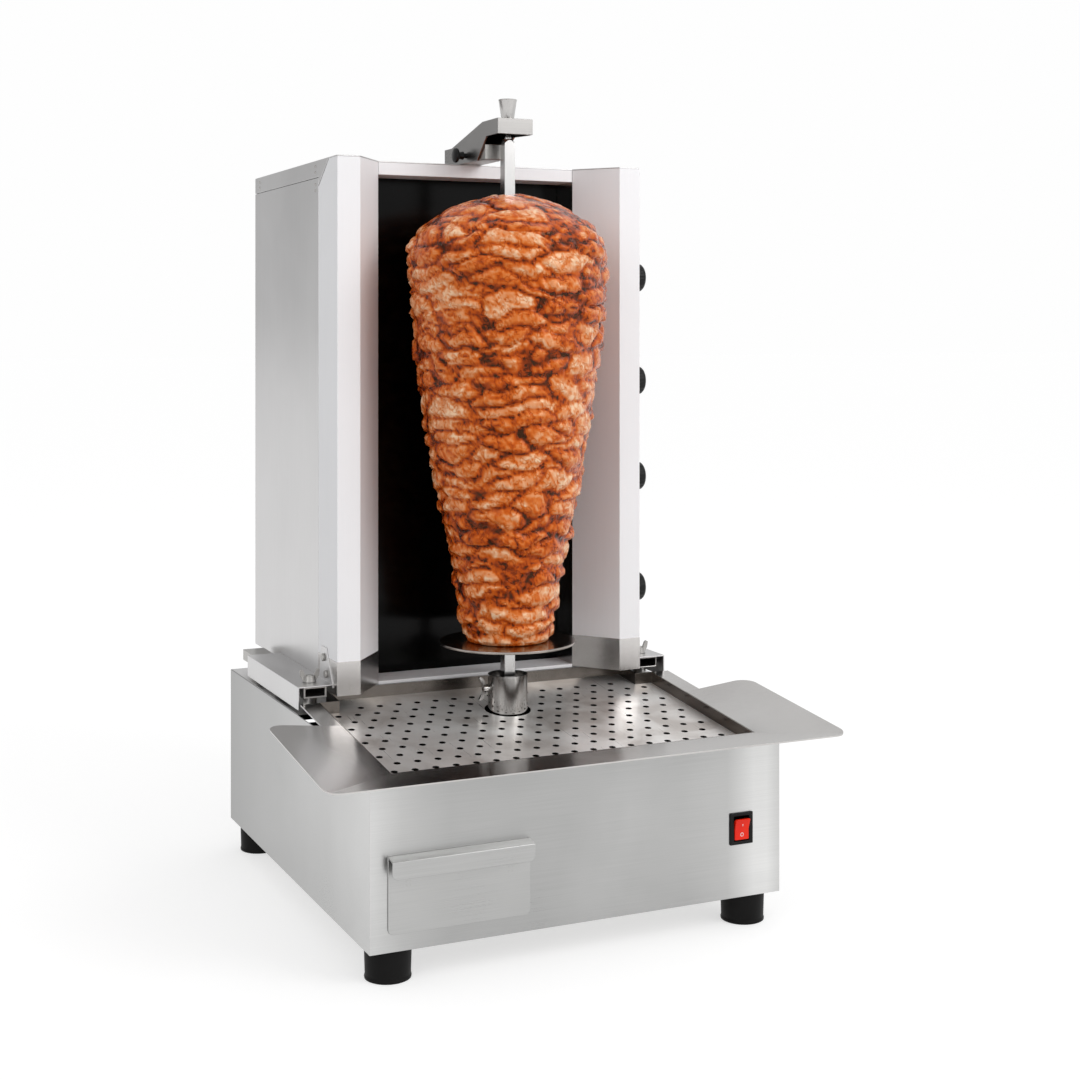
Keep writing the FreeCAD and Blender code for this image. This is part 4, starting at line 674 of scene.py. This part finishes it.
# %% Cover and back screws
cover_low, cover_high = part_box("top_cover")
side_low, side_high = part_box("side_panel_left")
SCREW_INSET = 11 * MM
PAIR = 7 * MM
for label, x, way_out in (("left", cover_low.x, LEFT), ("right", cover_high.x, RIGHT)):
    corners = [(cover_high.y - 2 * SCREW_INSET, (cover_high.z + side_high.z) / 2),
               (side_low.y + SCREW_INSET, (cover_high.z + side_high.z) / 2),
               (side_low.y + SCREW_INSET, side_high.z - SCREW_INSET)]
    places = [Vector((x, y, z + up * PAIR)) for y, z in corners for up in (-0.5, 0.5)]
    screws("cover_screws_" + label, places, way_out, "tower")
back_places = [Vector((x, cover_high.y, z))
               for x in (cover_low.x + 2 * SCREW_INSET, cover_high.x - 2 * SCREW_INSET)
               for z in (cover_high.z - SCREW_INSET, (side_low.z + side_high.z) / 2,
                         side_low.z + SCREW_INSET)]
screws("tower_back_screws", back_places, BACK, "tower")
base_places = [Vector((x, base_high.y, z))
               for x in (base_low.x + SCREW_INSET, base_high.x - SCREW_INSET)
               for z in (base_low.z + SCREW_INSET, base_high.z - SCREW_INSET)]
screws("base_back_screws", base_places, BACK, "base")

# %% [markdown]
# The drawer's grip is spot welded, which leaves small round marks on the drawer's front, in three
# groups of four. They stand a fifth of a millimetre proud and have the front's own finish.

# %% Weld marks
front_low, front_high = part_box("drawer_front")
WELD_RADIUS_MM, WELD_PITCH_MM, WELD_DROP_MM = 1.0, 4.5, 27.0
weld_outline = [(WELD_RADIUS_MM, -0.1), (0.9 * WELD_RADIUS_MM, 0.12), (0, 0.2)]
welds = []
for share in (0.14, 0.5, 0.86):
    for column in (-0.5, 0.5):
        for row in (0, 1):
            place = Vector((front_low.x + share * (front_high.x - front_low.x)
                            + column * WELD_PITCH_MM * MM, front_low.y,
                            front_high.z - (WELD_DROP_MM + WELD_PITCH_MM * row) * MM))
            welds.append(spun("weld", weld_outline, place, FRONT, 12))
weld_piece = finish(joined(welds, "grip_weld_marks"), "base_front")
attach(weld_piece, "drawer")

# %% [markdown]
# The rocker has the usual two marks: a line for on at its top and a ring for off at its foot. They
# are printed, so they stand a tenth of a millimetre proud. Each half of the rocker is flat but
# tilted, so a mark is placed by the largest face of that half.

# %% Switch marks
rocker_low, rocker_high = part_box("switch_rocker")
rocker_mesh = frame["nodes"]["switch_rocker"].data
rocker_middle = (rocker_low.z + rocker_high.z) / 2
FORWARD, ON_STRETCH = -0.7, 6


def rocker_half(upper):
    """The middle and the normal of the rocker's upper or lower front face."""
    faces = [f for f in rocker_mesh.polygons
             if f.normal.y < FORWARD and (f.center.z > rocker_middle) == upper]
    normal = sum((f.normal * f.area for f in faces), Vector()).normalized()
    points = [rocker_mesh.vertices[v].co for f in faces for v in f.vertices]
    middle = sum(points, Vector()) / len(points)
    return middle, normal


ring_at, ring_way = rocker_half(False)
ring_outline = [(1.5, -0.3), (1.5, 0.12), (2.1, 0.12), (2.1, -0.3), (1.5, -0.3)]
off_mark = spun("switch_off_mark", ring_outline, ring_at, ring_way, 24)
line_at, line_way = rocker_half(True)
line_outline = [(0, -0.3), (0.35, -0.3), (0.35, 0.12), (0, 0.12)]
on_mark = spun("switch_on_mark", line_outline, line_at, line_way, 16)
for vertex in on_mark.data.vertices:
    vertex.co.z = line_at.z + (vertex.co.z - line_at.z) * ON_STRETCH
for mark in (off_mark, on_mark):
    finish(mark, "white_ink")
    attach(mark, BODY_OF["switch_rocker"])

# %% [markdown]
# ## The meat
# Thin slices are stacked on the skewer and trimmed to a tall cone with a domed top. A sphere is
# first bent to the stack's outline, which is drawn as shares of its radius and height and read as
# one smooth curve.

# %% Meat shape
meat_low, meat_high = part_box("meat_stack")
meat_axis = Vector(((meat_low.x + meat_high.x) / 2, (meat_low.y + meat_high.y) / 2, 0))
meat_radius = (meat_high.x - meat_low.x) / 2
meat_height = meat_high.z - meat_low.z
AROUND, RINGS = 400, 230
SHARES = [(0.0, 0.0), (0.34, 0.0), (0.415, 0.006), (0.455, 0.03), (0.53, 0.131), (0.655, 0.27),
          (0.768, 0.408), (0.868, 0.547), (0.93, 0.685), (0.97, 0.789), (0.995, 0.862),
          (0.955, 0.893), (0.85, 0.927), (0.63, 0.962), (0.38, 0.985), (0.16, 0.998), (0.0, 1.0)]


def outline_point(share):
    """A point of the stack's outline, as radius and height, by its share of the length."""
    points = [Vector((r * meat_radius, t * meat_height)) for r, t in SHARES]
    lengths = [(b - a).length for a, b in zip(points, points[1:])]
    left = share * sum(lengths)
    for k, length_here in enumerate(lengths):
        if left <= length_here or k == len(lengths) - 1:
            u = min(1.0, left / length_here)
            before = points[max(0, k - 1)]
            after = points[min(len(points) - 1, k + 2)]
            a, b = points[k], points[k + 1]
            bend_a, bend_b = (b - before) / 2, (after - a) / 2
            return (a * (2 * u ** 3 - 3 * u ** 2 + 1) + bend_a * (u ** 3 - 2 * u ** 2 + u)
                    + b * (3 * u ** 2 - 2 * u ** 3) + bend_b * (u ** 3 - u ** 2))
        left -= length_here


start_fresh()
bpy.ops.mesh.primitive_uv_sphere_add(segments=AROUND, ring_count=RINGS, radius=1.0)
meat = bpy.context.object
meat.name = "meat_slices"
rings = {}  # the outline's point for each ring of the sphere
for vertex in meat.data.vertices:
    share = 1 - math.acos(max(-1.0, min(1.0, vertex.co.z))) / math.pi
    key = round(share * RINGS)
    if key not in rings:
        rings[key] = outline_point(key / RINGS)
    radius, height = rings[key]
    turn = math.atan2(vertex.co.y, vertex.co.x)
    vertex.co = meat_axis + Vector((radius * math.cos(turn), radius * math.sin(turn),
                                    meat_low.z + height))
meat.data.update()

# %% [markdown]
# Each slice shows only its edge: a flat lens, a few centimetres long and one or two high, that
# sags over the slice below. Two cell patterns in space, stretched sideways, give the slices and
# the smaller folds in them. Each point moves along its normal: out in the middle of a cell, in at
# its border. A tone from the same numbers is kept on the mesh, so the colour follows the shape:
# it darkens toward the borders of slices and folds, which is painted shade in the creases, and
# it adds each cell's own tone, the burnt patches and a darker dome. It is each point's rank among
# all points, so that half of the stack is paler than the middle of the colours, whatever the
# cells' sizes. The noise has a fixed seed: without one it takes the clock's time, and each run
# would stack other slices.

# %% Sizes of slices and folds
SLICE_SEED = 7
SLICE_LONG_MM, SLICE_HIGH_MM = 62.0, 17.5
FOLD_LONG_MM, FOLD_HIGH_MM = 17.0, 6.5
SLICE_OUT_MM, FOLD_OUT_MM, SAG_MM, GRAIN_OUT_MM = 3.5, 1.4, 1.8, 0.25
INWARD_MM, STILL_FOOT_MM = 0.8, 8.0
WIDE_SWAY_MM, WIDE_SWAY_PER_M = 9.0, 22
SMALL_SWAY_MM, SMALL_SWAY_PER_M = 3.5, 70
GRAIN_PER_M, BURN_PER_M = (260, 260, 520), 18
DOME_START, DOME_END, DOME_CALM, ALL_SMOOTH_DEG = 0.9, 0.95, 0.5, 180
SLICE_EDGE, FOLD_EDGE, SLICE_LEVEL, FOLD_LEVEL = 0.42, 0.45, 0.6, 0.5
SIDE_SWAY, FOLD_SWAY = 1.4, 0.6
CREASE_SHADE_SLICE_WIDTH, CREASE_SHADE_FOLD_WIDTH = 0.24, 0.26
CREASE_SHADE_SLICE, CREASE_SHADE_FOLD, PALE_OWN, PALE_FOLD_OWN = 0.55, 0.3, 0.22, 0.14
DARK_BURN, DARK_DOME = 0.22, 0.12

# %% [markdown]
# A cell pattern gives the two nearest centres of a point. The difference of their distances is
# nothing on a border and grows toward the middle of a cell.


# %% Cells and soft steps
def cells(place, long_mm, high_mm):
    """Distance to the nearest cell border, the cell's own number and the height in the cell."""
    spot = Vector((place.x / (long_mm * MM), place.y / (long_mm * MM), place.z / (high_mm * MM)))
    distances, centres = noise.voronoi(spot)
    own = noise.cell(centres[0] * 7.31)
    return distances[1] - distances[0], own, spot.z - centres[0].z


def smooth(value, low, high):
    """A soft step from 0 at low to 1 at high."""
    u = max(0.0, min(1.0, (value - low) / (high - low)))
    return u * u * (3 - 2 * u)


# %% [markdown]
# Now every point of the stack is moved. The cells are swayed by two slow noises first, so that no
# slice has straight sides, and the dome on top, which is trimmed smooth, moves only half as far.

# %% Meat slices
noise.seed_set(SLICE_SEED)
normals = [vertex.normal.copy() for vertex in meat.data.vertices]
tone_and_crease_shade = []
for vertex, normal in zip(meat.data.vertices, normals):
    place = vertex.co - meat_axis
    sway = (noise.noise_vector(place * WIDE_SWAY_PER_M) * WIDE_SWAY_MM * MM
            + noise.noise_vector(place * SMALL_SWAY_PER_M) * SMALL_SWAY_MM * MM)
    bent = place + Vector((sway.x * SIDE_SWAY, sway.y * SIDE_SWAY, sway.z))
    border, own, rise = cells(bent, SLICE_LONG_MM, SLICE_HIGH_MM)
    fold_border, fold_own, _ = cells(bent + sway * FOLD_SWAY, FOLD_LONG_MM, FOLD_HIGH_MM)
    grain = noise.fractal(place * Vector(GRAIN_PER_M), 1.0, 2.1, 3)
    slab = smooth(border, 0.0, SLICE_EDGE)
    fold = smooth(fold_border, 0.0, FOLD_EDGE)
    lift = SLICE_OUT_MM * (slab - SLICE_LEVEL) + SAG_MM * (0.5 - own) * slab - SAG_MM * rise * slab
    lift += FOLD_OUT_MM * (fold - FOLD_LEVEL) * (0.5 + fold_own) + GRAIN_OUT_MM * grain
    near_foot = smooth(place.z, meat_low.z, meat_low.z + STILL_FOOT_MM * MM)
    dome = smooth(place.z, meat_low.z + DOME_START * meat_height,
                  meat_low.z + DOME_END * meat_height)
    vertex.co += normal * (lift * (1 - DOME_CALM * dome) - INWARD_MM) * MM * near_foot
    # painted shade: the colour darkens toward the borders of slices and folds, in the creases
    edge = (smooth(border, 0.0, CREASE_SHADE_SLICE_WIDTH) * CREASE_SHADE_SLICE
            + smooth(fold_border, 0.0, CREASE_SHADE_FOLD_WIDTH) * CREASE_SHADE_FOLD)
    burn = noise.fractal(place * BURN_PER_M + Vector((3, 5, 7)), 1.0, 2.0, 4)
    tone_and_crease_shade.append(edge + PALE_OWN * own + PALE_FOLD_OWN * fold_own - DARK_BURN * burn
                    - DARK_DOME * dome)
order = sorted(range(len(tone_and_crease_shade)), key=tone_and_crease_shade.__getitem__)
for place_in_order, index in enumerate(order):
    tone_and_crease_shade[index] = place_in_order / len(order)
layer = meat.data.attributes.new("tone_and_crease_shade", "FLOAT", "POINT")
layer.data.foreach_set("value", tone_and_crease_shade)
settle(meat, ALL_SMOOTH_DEG)
widest = max(math.hypot(*(vertex.co - meat_axis).xy) for vertex in meat.data.vertices)
print("meat radius mm", round(widest / MM, 1))

# %% [markdown]
# Roasted, spiced meat runs from near black, where it is charred and as painted shade in its
# folds, through a deep orange, where the spiced fat gathers, to a peach on the flat faces of
# slices. Those are the stops of one colour ramp. What picks the stop is a sum: the tone and
# crease shade kept on the mesh, a blotch a centimetre or two wide, and wrinkles a few millimetres
# apart, whose lines darken the colour as painted shade. The wrinkles curl because they are
# contour lines: the sine of a noise. A thin coat is the fat's gloss.


# %% Meat colour
CURL_MM, CURL_LINES, BLOTCH_MM = 10.0, 21.0, 12.0
SHAPE_SHARE, BLOTCH_SHARE, CREASE_SHARE = 0.78, 0.62, -0.13
CREASE_FROM, DARKEST_SUM, PALEST_SUM = 0.55, 0.27, 1.15
ROAST = [(0.0, "#1E0500"), (0.1, "#5E1A02"), (0.26, "#A43C04"), (0.48, "#CC5A0E"),
         (0.66, "#DB7836"), (0.84, "#E9A070"), (1.0, "#FAD3AE")]


def roasted_meat():
    """Browned, spiced meat whose colour follows the slices, with painted shade in the creases."""
    material, tree, output = new_material("roasted_spiced_meat")
    place = add(tree, "TexCoord").outputs["Object"]
    tone_and_crease_shade = add(tree, "Attribute", attribute_name="tone_and_crease_shade").outputs["Fac"]
    curl = add(tree, "TexNoise", {"Scale": 1 / (CURL_MM * MM), "Detail": 1.5, "Distortion": 0.5},
               {"Vector": place}).outputs[0]
    turns = add(tree, "Math", {1: CURL_LINES}, {0: curl}, operation="MULTIPLY").outputs[0]
    wrinkle = add(tree, "Math", {}, {0: turns}, operation="SINE").outputs[0]
    blotch = add(tree, "TexNoise", {"Scale": 1 / (BLOTCH_MM * MM), "Detail": 4.0,
                                    "Distortion": 1.0}, {"Vector": place}).outputs[0]
    crease = add(tree, "MapRange", {"From Min": CREASE_FROM, "From Max": 1.0},
                 {"Value": wrinkle}).outputs[0]
    shape = add(tree, "Math", {1: SHAPE_SHARE}, {0: tone_and_crease_shade}, operation="MULTIPLY")
    spiced = add(tree, "Math", {1: BLOTCH_SHARE}, {0: blotch, 2: shape.outputs[0]},
                 operation="MULTIPLY_ADD")
    # painted shade: the colour darkens along the wrinkle lines
    total = add(tree, "Math", {1: CREASE_SHARE}, {0: crease, 2: spiced.outputs[0]},
                operation="MULTIPLY_ADD")
    level = add(tree, "MapRange", {"From Min": DARKEST_SUM, "From Max": PALEST_SUM},
                {"Value": total.outputs[0]})
    colour = add(tree, "ValToRGB", {}, {"Fac": level.outputs[0]}, stops=ROAST).outputs["Color"]
    relief = add(tree, "Bump", {"Strength": 0.8, "Distance": 0.6 * MM}, {"Height": crease},
                 invert=True)
    rough = add(tree, "MapRange", {"From Min": 0.3, "From Max": 0.7, "To Min": 0.14,
                                   "To Max": 0.36}, {"Value": blotch})
    shader = add(tree, "BsdfPrincipled", {"Specular IOR Level": 0.4, "Coat Weight": 0.15,
                                          "Coat Roughness": 0.1,
                                          "Specular Tint": linear("#FFB070")},
                 {"Base Color": colour, "Roughness": rough.outputs[0], "Normal": relief.outputs[0],
                  "Coat Normal": relief.outputs[0]})
    tree.links.new(shader.outputs[0], output.inputs["Surface"])
    return material


FINISH["meat"] = roasted_meat()
finish(meat, "meat")
for material_slot in frame["nodes"]["meat_stack"].material_slots:
    material_slot.material = FINISH["meat"]
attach(meat, "skewer")
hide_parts("meat_stack")

# %% [markdown]
# ## Floor, light and camera
# The floor is pale paper. It glows a little for rays from the camera and for mirrored rays, so it
# shows as white and still keeps the object's shadow.

# %% Floor
FLOOR_SIZE_M, FLOOR_GLOW = 80, 0.58


def pale_floor():
    """White paper that keeps the object's shadow and shows as white to the camera and in steel."""
    material, tree, output = new_material("studio_floor")
    paper = add(tree, "BsdfDiffuse", {"Color": linear("#BDBDBD")})
    rays = add(tree, "LightPath").outputs
    seen_or_mirrored = add(tree, "Math", {}, {0: rays["Is Camera Ray"], 1: rays["Is Glossy Ray"]},
                           operation="MAXIMUM")
    shown = add(tree, "Math", {}, {0: seen_or_mirrored.outputs[0], 1: rays["Is Transmission Ray"]},
                operation="MAXIMUM")
    glow = add(tree, "Math", {1: FLOOR_GLOW}, {0: shown.outputs[0]}, operation="MULTIPLY")
    light = add(tree, "Emission", {"Color": linear("#FFFFFF")}, {"Strength": glow.outputs[0]})
    both = add(tree, "AddShader", {}, {0: paper.outputs[0], 1: light.outputs[0]})
    tree.links.new(both.outputs[0], output.inputs["Surface"])
    return material


start_fresh()
bpy.ops.mesh.primitive_plane_add(size=FLOOR_SIZE_M, location=(0, 0, 0))
floor = bpy.context.object
floor.name = "studio_floor"
floor.data.materials.append(pale_floor())

# %% [markdown]
# The world is what steel mirrors, so it isn't one flat white: it is a little darker to the back
# and left, as a studio is away from its soft boxes. The camera itself sees an even near-white
# behind the grill. Two large soft lamps light the front.

# %% World and lamps
BRIGHT_SIDE, LAMP_AIM = (0.75, -0.45, 0.35), (0, 0, 0.5)
world = bpy.data.worlds.new("studio")
bpy.context.scene.world = world
world.use_nodes = True
sky = world.node_tree
sky.nodes.clear()
way = add(sky, "TexCoord").outputs["Generated"]
slant = add(sky, "VectorMath", {1: BRIGHT_SIDE}, {0: way}, operation="DOT_PRODUCT")
sheen = add(sky, "MapRange", {"From Min": -0.9, "From Max": 0.7, "To Min": 0.5, "To Max": 0.95},
            {"Value": slant.outputs["Value"]})
rays = add(sky, "LightPath")
mirrored = add(sky, "Background", {"Color": linear("#FFFFFF")}, {"Strength": sheen.outputs[0]})
seen = add(sky, "Background", {"Color": linear("#FEFEFE"), "Strength": 1.0})
ambient = add(sky, "MixShader", {}, {"Fac": rays.outputs["Is Camera Ray"], 1: mirrored.outputs[0],
                                     2: seen.outputs[0]})
add(sky, "OutputWorld", {}, {"Surface": ambient.outputs[0]})


def soft_box(name, place, aim, size, watts):
    """A large square lamp aimed at a point."""
    lamp_data = bpy.data.lights.new(name, "AREA")
    lamp_data.shape = "SQUARE"
    lamp_data.size = size
    lamp_data.energy = watts
    lamp = bpy.data.objects.new(name, lamp_data)
    bpy.context.scene.collection.objects.link(lamp)
    lamp.location = place
    lamp.rotation_euler = (Vector(aim) - Vector(place)).to_track_quat("-Z", "Y").to_euler()
    return lamp


soft_box("key", (1.5, -2.4, 2.0), LAMP_AIM, 1.5, 26)
soft_box("fill", (-2.2, -1.6, 1.6), LAMP_AIM, 1.4, 9)

# %% [markdown]
# The camera is a plain pinhole, kept level and shifted, so that upright edges stay upright.

# %% Camera
FOCAL_PX, FRAME_PX, HORIZON_PX = 1725.68, 1080, 331.46
CAMERA_PLACE = (-0.8053, -1.90065, 0.65702)
CAMERA_YAW_DEG = 24.76
SENSOR_MM = 36.0
camera_data = bpy.data.cameras.new("camera")
camera_data.sensor_width = SENSOR_MM
camera_data.lens = SENSOR_MM * FOCAL_PX / FRAME_PX
camera_data.shift_y = -(FRAME_PX / 2 - HORIZON_PX) / FRAME_PX
camera = bpy.data.objects.new("camera", camera_data)
bpy.context.scene.collection.objects.link(camera)
camera.location = CAMERA_PLACE
camera.rotation_euler = (math.radians(90), 0, -math.radians(CAMERA_YAW_DEG))
bpy.context.scene.camera = camera
bpy.context.scene.view_settings.view_transform = "Standard"
